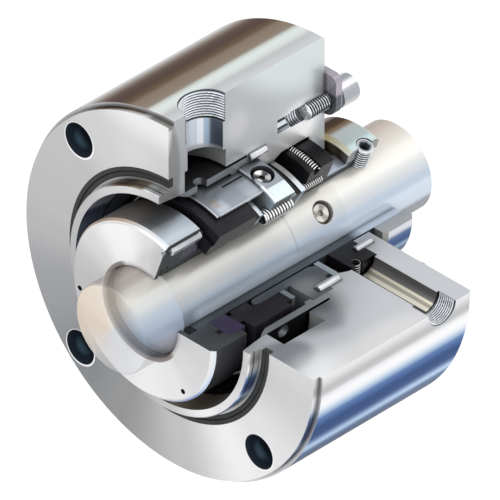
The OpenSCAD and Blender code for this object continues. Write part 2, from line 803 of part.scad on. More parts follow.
// The sleeve with its cup for the rotating face
sleeve_groove_setback = 5.5;
sleeve_groove_y = cup_front + sleeve_groove_setback;
face_ring_inset = 9;
face_groove_r = face_bore_r + face_ring_inset;
drive_pin_len = 21;
drive_hole_front = 4;
vent_hole_d = 3;
module shaft_sleeve() {
    groove = sleeve_cord + 2 * seat;
    outline = [
        [sleeve_bore_r + edge, cup_front], [cup_r - cup_bevel, cup_front], [cup_r, cup_front + cup_bevel],
        [cup_r, pocket_floor + pocket_depth - edge], [cup_r - edge, pocket_floor + pocket_depth],
        [pocket_r, pocket_floor + pocket_depth], [pocket_r, pocket_floor],
        [face_groove_r + face_cord / 2 + seat, pocket_floor],
        [face_groove_r + face_cord / 2 + seat, pocket_floor - face_cord],
        [face_groove_r - face_cord / 2 - seat, pocket_floor - face_cord],
        [face_groove_r - face_cord / 2 - seat, pocket_floor], [sleeve_r, pocket_floor],
        [sleeve_r, sleeve_back - edge], [sleeve_r - edge, sleeve_back], [sleeve_bore_r, sleeve_back],
        [sleeve_bore_r, sleeve_groove_y + groove / 2], [sleeve_bore_r + groove, sleeve_groove_y + groove / 2],
        [sleeve_bore_r + groove, sleeve_groove_y - groove / 2], [sleeve_bore_r, sleeve_groove_y - groove / 2],
        [sleeve_bore_r, cup_front + edge]
    ];
    color([0.62, 0.64, 0.66])
        difference() {
            turned(outline, 0, rotor_cut);
            for (a = drive_pin_angles) {
                beside(a, drive_pin_pitch_r, cup_front + drive_hole_front)
                    cylinder(d = drive_pin_d + 2 * slip, h = cup_web + pocket_depth, $fn = 48);
                beside(a, drive_pin_pitch_r, cup_front - overcut)
                    cylinder(d = vent_hole_d, h = drive_hole_front + 2 * overcut, $fn = 48);
            }
            for (a = set_screw_angles)
                outward_hole(a, set_screw_y, set_screw_d / 2 + seat, shaft_r - overcut, clamp_r);
        }
}

// The ring between sleeve and shaft
module sleeve_o_ring() {
    color([0.06, 0.06, 0.07])
        cord_ring(sleeve_bore_r + sleeve_cord / 2 + seat, sleeve_groove_y, sleeve_cord, rotor_cut);
}

// The hard rotating face
module rotating_face() {
    notch_depth = 8.6;
    color([0.24, 0.22, 0.3])
        difference() {
            turned([
                [face_bore_r, pocket_floor + edge], [face_bore_r + edge, pocket_floor],
                [face_r - edge, pocket_floor], [face_r, pocket_floor + edge], [face_r, face_front - edge],
                [face_r - edge, face_front], [face_bore_r + edge, face_front], [face_bore_r, face_front - edge]
            ], 0, rotor_cut);
            for (a = drive_pin_angles)
                beside(a, drive_pin_pitch_r, pocket_floor - overcut)
                    cylinder(d = drive_pin_d + 2 * fit, h = notch_depth + overcut, $fn = 48);
        }
}

// The ring behind the rotating face
module rotating_face_o_ring() {
    color([0.06, 0.06, 0.07])
        cord_ring(face_groove_r, pocket_floor - face_cord / 2, face_cord - 2 * seat, rotor_cut);
}

// The pins that drive the rotating face
module face_drive_pins() {
    color([0.88, 0.89, 0.9])
        for (a = drive_pin_angles)
            beside(a, drive_pin_pitch_r, cup_front + drive_hole_front + seat)
                pin(drive_pin_d, drive_pin_len);
}

// The clamp ring that holds the sleeve on the shaft
clamp_front_bevel = 2.2;
clamp_back_bevel = 3;
module clamp_ring() {
    color([0.75, 0.79, 0.8])
        difference() {
            turned([
                [clamp_bore_r, clamp_front], [clamp_r - clamp_front_bevel, clamp_front],
                [clamp_r, clamp_front + clamp_front_bevel], [clamp_r, clamp_back - clamp_back_bevel],
                [clamp_r - clamp_back_bevel, clamp_back], [clamp_bore_r, clamp_back]
            ], 0, rotor_cut);
            for (a = set_screw_angles)
                outward_hole(a, set_screw_y, set_screw_d / 2 + seat, shaft_r, clamp_r + overcut);
        }
}

// The set screws through clamp ring and sleeve
set_screw_socket = 4.8;
set_screw_sunk = 0.5;
module set_screws() {
    length = clamp_r - set_screw_sunk - shaft_r - seat;
    color([0.8, 0.8, 0.8])
        for (a = set_screw_angles)
            outward(a, set_screw_y)
                translate([0, 0, shaft_r + seat])
                    difference() {
                        pin(set_screw_d, length);
                        translate([0, 0, length - set_screw_socket])
                            hex_socket(set_screw_socket, set_screw_socket + overcut);
                    }
}

// The carbon stationary face, which slides on the carrier's tube
nose_start = 2.4;
module stationary_face() {
    nose_r0 = carbon_front_bore_r + nose_start;
    back_step_r = thrust_r + fit;
    color([0.16, 0.15, 0.17])
        turned([
            [carbon_front_bore_r, nose_y + nose_h], [nose_r0, nose_y + nose_h], [nose_r0, nose_y],
            [nose_r0 + nose_width, nose_y], [nose_r0 + nose_width, nose_y + nose_h],
            [carbon_r - 2 * edge, nose_y + nose_h], [carbon_r, nose_y + nose_h + 2 * edge],
            [carbon_r, carbon_back - 3.5], [back_step_r, carbon_back - 3.5], [back_step_r, carbon_back],
            [pusher_r + pusher_cord / 2 + seat, carbon_back],
            [pusher_r + pusher_cord / 2 + seat, carbon_back - pusher_cord - 2 * seat],
            [carbon_bore_r, carbon_back - pusher_cord - 2 * seat], [carbon_bore_r, carbon_step],
            [carbon_front_bore_r, carbon_step]
        ], 0, face_cut);
}

// The ring that the springs push on
module thrust_ring() {
    color([0.74, 0.8, 0.86])
        turned([
            [thrust_bore_r, carbon_back], [thrust_r - edge, carbon_back], [thrust_r, carbon_back + edge],
            [thrust_r, thrust_back - edge], [thrust_r - edge, thrust_back], [thrust_bore_r, thrust_back]
        ], 0, face_cut);
}

// The pusher ring, the moving seal between stationary face and tube
module pusher_o_ring() {
    color([0.06, 0.06, 0.07])
        cord_ring(pusher_r, carbon_back - pusher_cord / 2 - seat, pusher_cord, face_cut);
}

gland_plate();
gland_gasket();
flow_guide();
flow_guide_pin();
spring_carrier();
carrier_screws();
carrier_pin();
hub_o_ring();
seal_springs();
throttle_retainer();
throttle_bushing();
garter_spring();
throttle_springs();
throttle_pin();
cap_screws();
lock_washers();
setting_plate(gland_cut, 1);  // setting_plate_1
setting_plate(gland_cut + third, -1);  // setting_plate_2
setting_plate(gland_cut + 2 * third, 1);  // setting_plate_3
shaft();
shaft_screw();
shaft_sleeve();
sleeve_o_ring();
rotating_face();
rotating_face_o_ring();
face_drive_pins();
clamp_ring();
set_screws();
stationary_face();
thrust_ring();
pusher_o_ring();
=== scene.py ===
"""Looks of a cartridge pusher mechanical seal that is opened by a quarter, on a stub shaft.

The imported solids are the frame: the shaft runs along Y, the gland's mounting face lies at y = 0 and an
angle is measured about the shaft from +X towards +Z. Every new piece is worked out in millimetres in that
frame, as a function of two parameters on a grid or a section carried along a path, and written in metres.
"""

import json
import logging
import math
from dataclasses import dataclass, replace
from enum import Enum

import bpy
import numpy as np
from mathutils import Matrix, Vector

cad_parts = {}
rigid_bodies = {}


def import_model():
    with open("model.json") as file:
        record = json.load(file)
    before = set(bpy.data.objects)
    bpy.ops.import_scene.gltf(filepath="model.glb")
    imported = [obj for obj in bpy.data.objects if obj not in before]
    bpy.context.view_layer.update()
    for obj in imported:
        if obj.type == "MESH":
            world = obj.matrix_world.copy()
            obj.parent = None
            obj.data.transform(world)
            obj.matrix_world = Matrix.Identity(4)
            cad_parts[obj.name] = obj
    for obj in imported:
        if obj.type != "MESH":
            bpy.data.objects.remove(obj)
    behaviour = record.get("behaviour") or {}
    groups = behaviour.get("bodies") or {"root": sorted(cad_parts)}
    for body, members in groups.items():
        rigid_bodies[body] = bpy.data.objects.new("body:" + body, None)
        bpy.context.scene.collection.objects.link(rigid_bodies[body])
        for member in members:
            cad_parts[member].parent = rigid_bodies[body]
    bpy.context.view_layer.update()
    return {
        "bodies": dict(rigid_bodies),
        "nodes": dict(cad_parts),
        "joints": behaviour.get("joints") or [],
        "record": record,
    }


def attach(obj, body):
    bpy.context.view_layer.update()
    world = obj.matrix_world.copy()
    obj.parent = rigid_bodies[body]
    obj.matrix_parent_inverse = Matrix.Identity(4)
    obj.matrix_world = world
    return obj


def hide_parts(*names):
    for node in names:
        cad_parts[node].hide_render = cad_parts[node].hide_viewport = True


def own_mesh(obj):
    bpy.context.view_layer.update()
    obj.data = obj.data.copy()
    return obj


log = logging.getLogger("seal")
MM = 0.001

Colour = tuple[float, float, float]
Place = tuple[float, float, float]
Band = tuple[float, Colour]
Socket = bpy.types.NodeSocket

WHITE: Colour = (1.0, 1.0, 1.0)
# How far three alike pieces stand from the first of them, in degrees about the shaft.
THIRDS = (0.0, 120.0, 240.0)
# The direction of the shaft's axis.
ALONG = np.array([0.0, 1.0, 0.0])
# The radius, in millimetres, at which a turned piece is closed on its own axis.
POLE_R = 0.02
# Where a noise about 0.5 passes from one colour to another.
CLOUD = (0.35, 0.65)


def rgb(red: int, green: int, blue: int) -> Colour:
    """A screen colour as linear light.

    Args:
        red, green, blue: the colour as it shows, 0 to 255.

    Returns:
        The three linear values: c / 12.92 below 0.04045, else ((c + 0.055) / 1.055) to the power 2.4.
    """
    shown = np.array([red, green, blue], float) / 255.0
    linear = np.where(shown <= 0.04045, shown / 12.92, ((shown + 0.055) / 1.055) ** 2.4)
    return tuple(float(value) for value in linear)


class Body(str, Enum):
    """The rigid bodies that new pieces move with."""

    HOUSING = "housing"
    ROTOR = "rotor"
    FACE = "face"


@dataclass(frozen=True)
class Layout:
    """Radii and places along the shaft, in millimetres, as the solids have them."""

    shaft_r: float = 25.0
    flange_r: float = 53.4
    gland_r: float = 104.2
    hub_r: float = 46.0
    bushing_r: float = 47.4
    clamp_r: float = 38.93
    bolt_circle_r: float = 90.0
    cap_screw_pitch_r: float = 65.0
    spring_pitch_r: float = 40.85
    small_spring_pitch_r: float = 35.6
    cup_front: float = -19.0
    pocket_floor: float = -2.5
    carbon_back: float = 41.47
    thrust_back: float = 44.47
    spring_seat: float = 65.47
    hub_back: float = 70.67
    retainer_back: float = 74.17
    bushing_front: float = 81.67
    gland_len: float = 110.17
    set_screw_y: float = 125.79
    flush_y: float = 25.75
    vent_y: float = 88.87
    plate_t: float = 4.5
    rotor_cut: float = 70.0
    face_cut: float = 60.0
    bushing_cut: float = 67.0
    gland_cut: float = 90.0
    carrier_screw_angle: float = 78.5
    carrier_screw_y: float = 55.47
    shaft_screw_angle: float = 40.0
    shaft_screw_y: float = 90.0


LAYOUT = Layout()


# Finishes


@dataclass(frozen=True)
class Spot:
    """A soft ellipsoid of another colour on a finish, such as a painted highlight or painted shade in a hole.

    Its share is 1 within the inner part of |(p - centre) / reach|, and falls to 0 where that is 1.
    """

    centre: Place
    reach: Place
    colour: Colour
    inner: float = 0.5
    most: float = 1.0


@dataclass(frozen=True)
class Patch:
    """A block of another colour, between two corners.

    The corners are [x, y, z] in millimetres, or with polar set [angle in degrees, y, radius].
    """

    low: Place
    high: Place
    colour: Colour
    soft: Place = (0.3, 0.3, 0.3)
    polar: bool = False
    most: float = 1.0


class Tree:
    """A node tree, emptied, with short calls that add nodes."""

    def __init__(self, tree: bpy.types.NodeTree) -> None:
        """Takes a tree and empties it."""
        self.tree = tree
        tree.nodes.clear()

    def put(self, socket: Socket, value: object) -> None:
        """Links or writes a value into a socket.

        Args:
            socket: the input.
            value: another node's output, a number, a vector or a colour.
        """
        if isinstance(value, Socket):
            self.tree.links.new(value, socket)
        elif isinstance(value, tuple) and socket.type == "RGBA" and len(value) == 3:
            socket.default_value = (*value, 1.0)
        else:
            socket.default_value = value

    def fill(self, node: bpy.types.Node, inputs: tuple | dict) -> None:
        """Fills a node's inputs, in order or by name or number."""
        for key, value in inputs.items() if isinstance(inputs, dict) else enumerate(inputs):
            self.put(node.inputs[key], value)

    def add(self, kind: str, inputs: tuple | dict = (), **settings: object) -> bpy.types.bpy_prop_collection:
        """Adds a node.

        Args:
            kind: its kind, such as Math.
            inputs: what goes into its inputs.
            settings: the node's own settings.

        Returns:
            The node's outputs.
        """
        node = self.tree.nodes.new("ShaderNode" + kind)
        for name, value in settings.items():
            setattr(node, name, value)
        self.fill(node, inputs)
        return node.outputs

    def math(self, operation: str, *values: object) -> Socket:
        """The result of a math operation on outputs or numbers."""
        return self.add("Math", values, operation=operation)[0]


class Nodes(Tree):
    """A material's node tree with its main shader."""

    def __init__(self, name: str) -> None:
        """Starts a material of that name with an output and a main shader."""
        self.material = bpy.data.materials.new(name)
        self.material.use_nodes = True
        super().__init__(self.material.node_tree)
        self.output = self.tree.nodes.new("ShaderNodeOutputMaterial")
        self.shader = self.tree.nodes.new("ShaderNodeBsdfPrincipled")
        self.put(self.output.inputs["Surface"], self.shader.outputs[0])

    def finished(self, inputs: dict[str, object]) -> bpy.types.Material:
        """Fills the main shader's inputs and returns the material."""
        self.fill(self.shader, inputs)
        return self.material

    def place(self) -> Socket:
        """The place on the piece, in metres."""
        return self.add("TexCoord")["Object"]

    def product(self, first: object, *others: object) -> Socket:
        """The product of outputs or numbers."""
        for other in others:
            first = self.math("MULTIPLY", first, other)
        return first

    def hypot(self, first: object, second: object) -> Socket:
        """The root of the sum of two squares."""
        squares = (self.math("POWER", side, 2.0) for side in (first, second))
        return self.math("SQRT", self.math("ADD", *squares))

    def about(self, noise: object, centre: float, spread: float) -> Socket:
        """A number that follows a noise: centre + spread (noise - 0.5)."""
        return self.math("MULTIPLY_ADD", noise, spread, centre - spread / 2.0)

    def smooth(self, value: object, low: float, high: float) -> Socket:
        """A soft step of a value, from 0 at low to 1 at high."""
        return self.add("MapRange", (value, low, high, 0.0, 1.0), interpolation_type="SMOOTHSTEP")[0]

    def mix(self, share: object, first: object, second: object) -> Socket:
        """A colour between two others, the first at a share of 0 and the second at 1."""
        return self.add("Mix", {0: share, 6: first, 7: second}, data_type="RGBA")[2]

    def ramp(self, value: object, bands: tuple[Band, ...], low: float, high: float) -> Socket:
        """A colour that follows a value through a list of bands.

        Args:
            value: what the bands follow.
            bands: (value, colour) pairs in rising order.
            low, high: the range that the pairs lie in.

        Returns:
            The colour's socket.
        """
        share = self.math("DIVIDE", self.math("SUBTRACT", value, low), high - low)
        node = self.tree.nodes.new("ShaderNodeValToRGB")
        node.color_ramp.interpolation = "EASE"
        stops = node.color_ramp.elements
        while len(stops) < len(bands):
            stops.new(0.5)
        for stop, (at, colour) in zip(stops, bands):
            stop.position = (at - low) / (high - low)
            stop.color = (*colour, 1.0)
        self.put(node.inputs[0], share)
        return node.outputs[0]

    def by_angle(self, angle: object, bands: tuple[Band, ...]) -> Socket:
        """The colour of a table of bands at an angle in degrees."""
        return self.ramp(angle, bands, -180.0, 180.0)

    def noise(self, vector: object, scale: float, detail: float = 3.0, rough: float = 0.5) -> Socket:
        """A noise about 0.5, by its waves per metre, its octaves and the share of each finer octave."""
        inputs = {"Vector": vector, "Scale": scale, "Detail": detail, "Roughness": rough}
        return self.add("TexNoise", inputs)["Fac"]

    def joined(self, *parts: object) -> Socket:
        """Three numbers as a vector."""
        return self.add("CombineXYZ", parts)[0]

    def split(self, vector: object) -> list[Socket]:
        """A vector's x, y and z."""
        return list(self.add("SeparateXYZ", (vector,)))

    def vector(self, operation: str, first: object, second: object = (0.0, 0.0, 0.0)) -> list[Socket]:
        """A vector operation's results, as a vector and as a number; the second of SCALE is a number."""
        inputs = {0: first, "Scale" if operation == "SCALE" else 1: second}
        return list(self.add("VectorMath", inputs, operation=operation))

    def within(self, place: object, spot: Spot) -> Socket:
        """How far a place is inside a spot.

        Args:
            place: the place's socket.
            spot: the spot, in millimetres.

        Returns:
            The share's socket, 0 outside.
        """
        shift = self.vector("SUBTRACT", place, tuple(c * MM for c in spot.centre))[0]
        scaled = self.vector("DIVIDE", shift, tuple(c * MM for c in spot.reach))[0]
        apart = self.smooth(self.vector("LENGTH", scaled)[1], spot.inner, 1.0)
        return self.product(self.math("SUBTRACT", 1.0, apart), spot.most)

    def inside(self, place: object, patch: Patch) -> Socket:
        """How far a place is inside a patch: the product over the axes of a ramp at either end.

        Args:
            place: the place's socket, in the patch's own coordinates.
            patch: the patch.

        Returns:
            The share's socket.
        """
        width = tuple(1.0 / s for s in patch.soft)
        rising = self.vector("MULTIPLY", self.vector("SUBTRACT", place, patch.low)[0], width)[0]
        falling = self.vector("MULTIPLY", self.vector("SUBTRACT", patch.high, place)[0], width)[0]
        least = self.vector("ADD", self.vector("MINIMUM", rising, falling)[0], (0.5, 0.5, 0.5))[0]
        least = self.vector("MAXIMUM", self.vector("MINIMUM", least, WHITE)[0])[0]
        return self.product(*self.split(least), patch.most)

    def spotted(self, colour: object, place: object, spots: tuple[Spot | Patch, ...]) -> object:
        """A colour with its spots and patches.

        Args:
            colour: the colour's socket.
            place: the place's socket.
            spots: the spots and patches, later ones on top.

        Returns:
            The colour's socket.
        """
        if not spots:
            return colour
        plain = self.vector("SCALE", place, 1.0 / MM)[0]
        x, y, z = self.split(plain)
        polar = self.joined(self.math("DEGREES", self.math("ARCTAN2", z, x)), y, self.hypot(x, z))
        for spot in spots:
            if isinstance(spot, Spot):
                share = self.within(place, spot)
            else:
                share = self.inside(polar if spot.polar else plain, spot)
            colour = self.mix(share, colour, spot.colour)
        return colour

    def painted_gap_shade(self, colour: object, reach: float = 3.0, power: float = 1.5) -> Socket:
        """A colour times openness to a power: painted shade in places narrower than the reach in millimetres.
        """
        openness = self.add("AmbientOcclusion", {"Distance": reach * MM}, samples=6)["AO"]
        return self.vector("SCALE", colour, self.math("POWER", openness, power))[0]

    def bump(self, height: object, distance: float) -> None:
        """Roughens the shader's normal, by a distance in metres for a height of 1."""
        inputs = {"Strength": 1.0, "Distance": distance, "Height": height}
        self.put(self.shader.inputs["Normal"], self.add("Bump", inputs)[0])


@dataclass(frozen=True)
class Ghost:
    """The faded front of the stub shaft, drawn more or less solid by place.

    Behind the end it is solid. In front of it, a point a distance s ahead of the sleeve's mouth is seen
    through the mouth where (x - s)^2 + (z - s)^2 is under the mouth's radius squared. There, and behind the
    mouth, it has half the mist of the rest. The mist thins across the shaft, by x - z.
    """

    end: float = -14.0
    blend: float = 0.2
    mouth_r: tuple[float, float] = (27.5, 28.5)
    side: tuple[float, float] = (-12.0, 30.0)
    mist: tuple[float, float] = (0.86, 0.44)
    inside: float = 0.5

    def opacity(self, n: Nodes, x: object, y: object, z: object) -> Socket:
        """How solid a point is drawn.

        Args:
            n: the material's nodes.
            x, y, z: the place's sockets.

        Returns:
            The opacity's socket, 0 on faces that are seen from behind.
        """
        solid = n.smooth(y, (self.end - self.blend) * MM, self.end * MM)
        before = n.math("SUBTRACT", LAYOUT.cup_front * MM, y)
        reach = n.hypot(n.math("SUBTRACT", x, before), n.math("SUBTRACT", z, before))
        ahead = n.smooth(before, -self.blend * MM, self.blend * MM)
        outside = n.product(ahead, n.smooth(reach, *(r * MM for r in self.mouth_r)))
        across = n.smooth(n.math("SUBTRACT", x, z), *(s * MM for s in self.side))
        most, least = self.mist
        mist = n.math("MULTIPLY_ADD", across, least - most, most)
        share = n.math("MULTIPLY_ADD", outside, 1.0 - self.inside, self.inside)
        facing = n.math("SUBTRACT", 1.0, n.add("NewGeometry")["Backfacing"])
        return n.math("MAXIMUM", solid, n.product(mist, share, facing))


GHOST = Ghost()


@dataclass(frozen=True)
class TurnedMetal:
    """Metal that was turned about the shaft's axis, with painted sheen bands that stand in for its
    reflections.

    Surfaces that face away from the axis take the rim's painted bands by angle, bores take the bore's bands,
    faces across the axis take the face's bands, and cut faces blend two plain colours. A side counts as
    turned or across as its normal's share of that direction rises through the two values of the same name,
    and takes the painted edge highlight while its share along the axis lies between edge_from and edge_to.
    Spots and patches paint highlights and shade on top, and narrow places are darkened with painted shade.
    """

    name: str
    rim: tuple[Band, ...]
    face: tuple[Band, ...]
    bore: tuple[Band, ...]
    cut: tuple[Colour, Colour]
    back: Colour = rgb(205, 207, 210)
    metallic: float = 0.6
    rough: float = 0.3
    marks: float = 0.2
    cut_scale: float = 14.0
    gap_shade: float = 1.2
    edge: tuple[Band, ...] = ()
    along: tuple[tuple[float, float], ...] = ()
    cut_spots: tuple[Spot | Patch, ...] = ()
    spots: tuple[Spot | Patch, ...] = ()
    ghost: Ghost | None = None
    turned: tuple[float, float] = (0.25, 0.6)
    across: tuple[float, float] = (0.75, 0.9)
    edge_from: tuple[float, float] = (0.45, 0.6)
    edge_to: tuple[float, float] = (0.8, 0.92)
    edge_out: tuple[float, float] = (0.3, 0.5)
    mark_stretch: float = 6.0
    mark_scale: float = 420.0
    tint: float = 0.18
    sheen: float = 0.1

    def make(self) -> bpy.types.Material:
        """Builds the material.

        Returns:
            The finished material.
        """
        n = Nodes(self.name)
        coords = n.add("TexCoord")
        place = coords["Object"]
        x, y, z = n.split(place)
        radius = n.math("MAXIMUM", n.hypot(x, z), 1e-5)
        stretched = (n.product(size, self.mark_stretch) for size in (radius, y))
        marks = n.noise(n.joined(*stretched, 0.0), self.mark_scale, 4.0, 0.7)
        colour = self.by_side(n, place, coords["Normal"], radius)
        colour = n.painted_gap_shade(n.spotted(colour, place, self.spots), power=self.gap_shade)
        colour = n.vector("SCALE", colour, n.about(marks, 1.0, 0.08 * self.marks))[0]
        n.bump(marks, 0.00003 * self.marks)
        if self.ghost:
            n.put(n.shader.inputs["Alpha"], self.ghost.opacity(n, x, y, z))
        return n.finished({
            "Base Color": colour,
            "Specular Tint": n.mix(self.tint, colour, WHITE),
            "Specular IOR Level": self.sheen,
            "Metallic": self.metallic,
            "Roughness": n.about(marks, self.rough, 0.7 * self.marks),
        })

    def by_side(self, n: Nodes, place: object, normal: object, radius: object) -> Socket:
        """The colour by the way that the surface faces.

        Args:
            n: the material's nodes.
            place, normal: the sockets of the place and the normal.
            radius: the socket of the distance from the shaft's axis.

        Returns:
            The colour's socket.
        """
        x, y, z = n.split(place)
        nx, ny, nz = n.split(normal)
        outward = n.math("DIVIDE", n.math("ADD", n.product(nx, x), n.product(nz, z)), radius)
        angle = n.math("DEGREES", n.math("ARCTAN2", z, x))
        cloud = n.noise(place, self.cut_scale, 2.0)
        colour = n.spotted(n.mix(n.smooth(cloud, *CLOUD), *self.cut), place, self.cut_spots)
        rim = n.by_angle(angle, self.rim)
        if self.along:
            shades = tuple((at, (shade, shade, shade)) for at, shade in self.along)
            ramp = n.ramp(n.math("DIVIDE", y, MM), shades, shades[0][0], shades[-1][0])
            rim = n.vector("MULTIPLY", rim, ramp)[0]
        for side, facing, look in (
            (outward, self.turned, rim),
            (n.product(outward, -1.0), self.turned, n.by_angle(angle, self.bore)),
            (n.product(ny, -1.0), self.across, n.by_angle(angle, self.face)),
            (ny, self.across, self.back),
        ):
            colour = n.mix(n.smooth(side, *facing), colour, look)
        if self.edge:
            steep = n.math("ABSOLUTE", ny)
            flat = n.math("SUBTRACT", 1.0, n.smooth(steep, *self.edge_to))
            slope = n.product(n.smooth(steep, *self.edge_from), flat, n.smooth(outward, *self.edge_out))
            colour = n.mix(slope, colour, n.by_angle(angle, self.edge))
        return colour


@dataclass(frozen=True)
class SectionMetal:
    """The faded shaft's cross-section, with the painted sheen streaks of the shaft's side carried on across
    it.

    A painted streak at angle a of the side runs on at z - x = sqrt 2 radius sin(a - 45 degrees).
    """

    name: str
    rim: tuple[Band, ...]
    radius: float
    shade: float

    def make(self) -> bpy.types.Material:
        """Builds the material.

        Returns:
            The finished material.
        """
        n = Nodes(self.name)
        x, _, z = n.split(n.place())
        share = n.math("DIVIDE", n.math("SUBTRACT", z, x), math.sqrt(2.0) * self.radius * MM)
        limited = n.math("MINIMUM", n.math("MAXIMUM", share, -1.0), 1.0)
        angle = n.math("ADD", n.math("DEGREES", n.math("ARCSINE", limited)), 45.0)
        colour = n.vector("SCALE", n.by_angle(angle, self.rim), self.shade)[0]
        return n.finished({"Base Color": colour, "Metallic": 0.3, "Roughness": 0.35})


@dataclass(frozen=True)
class PlainMetal:
    """Drawn, ground or milled metal with a fine grain, a slightly worn colour and painted shade in narrow
    places.
    """

    name: str
    light: Colour
    dark: Colour
    metallic: float = 0.75
    rough: float = 0.25
    grain: float = 900.0
    spots: tuple[Spot | Patch, ...] = ()

    def make(self) -> bpy.types.Material:
        """Builds the material.

        Returns:
            The finished material.
        """
        n = Nodes(self.name)
        place = n.place()
        cloud = n.noise(place, 60.0)
        grain = n.noise(place, self.grain, 2.0)
        colour = n.spotted(n.mix(n.smooth(cloud, 0.3, 0.7), self.light, self.dark), place, self.spots)
        n.bump(grain, 0.00001)
        return n.finished({
            "Base Color": n.painted_gap_shade(colour),
            "Metallic": self.metallic,
            "Roughness": n.about(grain, self.rough, 0.16),
        })


@dataclass(frozen=True)
class Toned:
    """Bright metal on a piece that carries painted light and shade, as the threads, screws and coils do.

    The piece's attribute "tone" runs from painted shade at 0, in its hollows, to painted light at 1, on its
    crests.
    """

    name: str
    dark: Colour
    middle: Colour
    light: Colour
    metallic: float = 0.75
    rough: float = 0.22

    def make(self) -> bpy.types.Material:
        """Builds the material.

        Returns:
            The finished material.
        """
        n = Nodes(self.name)
        tone = n.add("Attribute", attribute_name="tone")["Fac"]
        grain = n.noise(n.place(), 1100.0, 2.0)
        steps = (0.0, 0.25, 0.5, 0.8, 1.0)
        shades = tuple(zip(steps, (self.dark, self.dark, self.middle, self.light, self.light)))
        n.bump(grain, 0.000006)
        return n.finished({
            "Base Color": n.ramp(n.math("ADD", tone, n.about(grain, 0.0, 0.06)), shades, 0.0, 1.0),
            "Metallic": self.metallic,
            "Roughness": n.about(grain, self.rough, 0.12),
        })


@dataclass(frozen=True)
class Moulded:
    """Rubber, carbon or ceramic: a dark body with a fine speckle and painted shade in narrow places."""

    name: str
    light: Colour
    dark: Colour
    rough: float = 0.45
    speckle: float = 1800.0
    gloss: float = 0.15
    depth: float = 0.00002

    def make(self) -> bpy.types.Material:
        """Builds the material.

        Returns:
            The finished material.
        """
        n = Nodes(self.name)
        place = n.place()
        speckle = n.noise(place, self.speckle)
        share = n.product(n.math("ADD", speckle, n.noise(place, 70.0)), 0.5)
        n.bump(speckle, self.depth)
        return n.finished({
            "Base Color": n.painted_gap_shade(n.mix(n.smooth(share, *CLOUD), self.dark, self.light)),
            "Specular IOR Level": self.gloss,
            "Roughness": n.about(speckle, self.rough, 0.2),
        })


def grey(value: int) -> Colour:
    """A plain grey with a screen value of 0 to 255."""
    return rgb(value, value, value + 1)


def bands(*rows: tuple[float, ...]) -> tuple[Band, ...]:
    """A table of bands by angle. One that starts at -180 degrees ends at 180 in the colour it starts with.

    Args:
        rows: (angle, red, green, blue), or (angle, grey) where the colour is a plain grey.

    Returns:
        The (angle, colour) pairs.
    """
    pairs = [(row[0], grey(row[1]) if len(row) == 2 else rgb(*row[1:])) for row in rows]
    if pairs[0][0] == -180:
        pairs.append((180, pairs[0][1]))
    return tuple(pairs)


# Painted reflections: each table gives a turned surface's colour by angle about the shaft, in bands of
# painted light and shade that stand in for what it reflects. The edge tables paint highlights on chamfered
# edges, and DARK_BORE paints shade in bores.
GLAND_RIM = bands(
    (-180, 186), (-100, 226), (-60, 190), (-48, 100, 112, 136), (-40, 98, 114, 138), (-35.5, 100, 120, 154),
    (-32, 120, 146, 182), (-29.8, 204, 226, 248), (-27.8, 204, 226, 250), (-26, 130, 154, 194),
    (-24, 86, 108, 154), (-20, 76, 100, 146), (-16, 102, 130, 180), (-13.4, 176, 200, 228),
    (-12, 236, 242, 248), (-10, 254), (-8, 252), (-5, 192), (0, 236), (90, 212, 214, 216),
    (94, 198, 200, 202), (96.5, 226, 232, 230), (99, 228, 236, 233), (101.5, 150, 138, 124),
    (106, 146, 131, 116), (109, 110, 94, 78), (113, 94, 75, 61), (117.5, 96, 78, 66), (120, 120, 104, 94),
    (123, 158, 148, 140), (128, 204),
)
GLAND_FACE = bands(
    (-180, 184), (-160, 162, 163, 166), (-130, 142, 146, 149), (-112, 160), (-85, 206), (-58, 248),
    (-40, 232), (-12, 208), (0, 214), (90, 206), (108, 214), (125, 206), (142, 192), (170, 189),
)
GLAND_BORE = bands(
    (-180, 170, 180, 200), (-158, 120, 130, 150), (-130, 190, 188, 184), (-112, 206, 196, 184),
    (-100, 250, 240, 224), (-82, 252, 242, 228), (-66, 190, 174, 158), (-40, 214, 220, 226),
    (-15, 208, 214, 220), (0, 214, 218, 224), (90, 84, 86, 90), (112, 100, 107, 122), (128, 150, 162, 188),
    (138, 206, 216, 230), (146, 226, 234, 244), (152, 116, 130, 160), (166, 170, 182, 206),
)
SLEEVE_RIM = bands(
    (-180, 78, 78, 76), (-120, 84, 79, 75), (-60, 66, 64, 64), (-28, 76, 76, 80), (-8, 94, 94, 98),
    (0, 90, 92, 96), (66, 190, 200, 208), (70, 196, 206, 213), (74, 212, 222, 231), (79, 208, 218, 227),
    (83, 176, 184, 190), (87.5, 120, 123, 126), (92, 106, 108, 111), (106, 140, 131, 124),
    (125, 140, 135, 130), (150, 108, 106, 103),
)
SLEEVE_FACE = bands(
    (-180, 190), (-150, 202), (-120, 224), (-85, 240), (-52, 232), (-36, 219), (-8, 211), (72, 204),
    (84, 222), (104, 242), (120, 240), (144, 216), (166, 196),
)
CARRIER_RIM = bands(
    (-180, 150, 153, 158), (-60, 120, 122, 126), (60, 138, 147, 152), (66, 150, 158, 164),
    (73, 170, 176, 185), (80, 172, 179, 188), (86, 152, 157, 163), (92, 120, 122, 127), (104, 70, 70, 74),
    (140, 120, 122, 126),
)
GUIDE_RIM = bands(
    (-180, 82, 82, 84), (-60, 54, 54, 57), (-8, 40, 40, 43), (88, 72, 72, 74), (112, 56, 56, 58),
)
RING_RIM = bands(
    (-180, 178), (-90, 150), (-20, 166), (58, 214, 230, 240), (66, 226, 234, 240), (74, 176), (84, 150),
    (96, 122),
)
RING_FACE = bands(
    (-180, 160), (-30, 140), (60, 196, 214, 224), (75, 150), (95, 110),
)
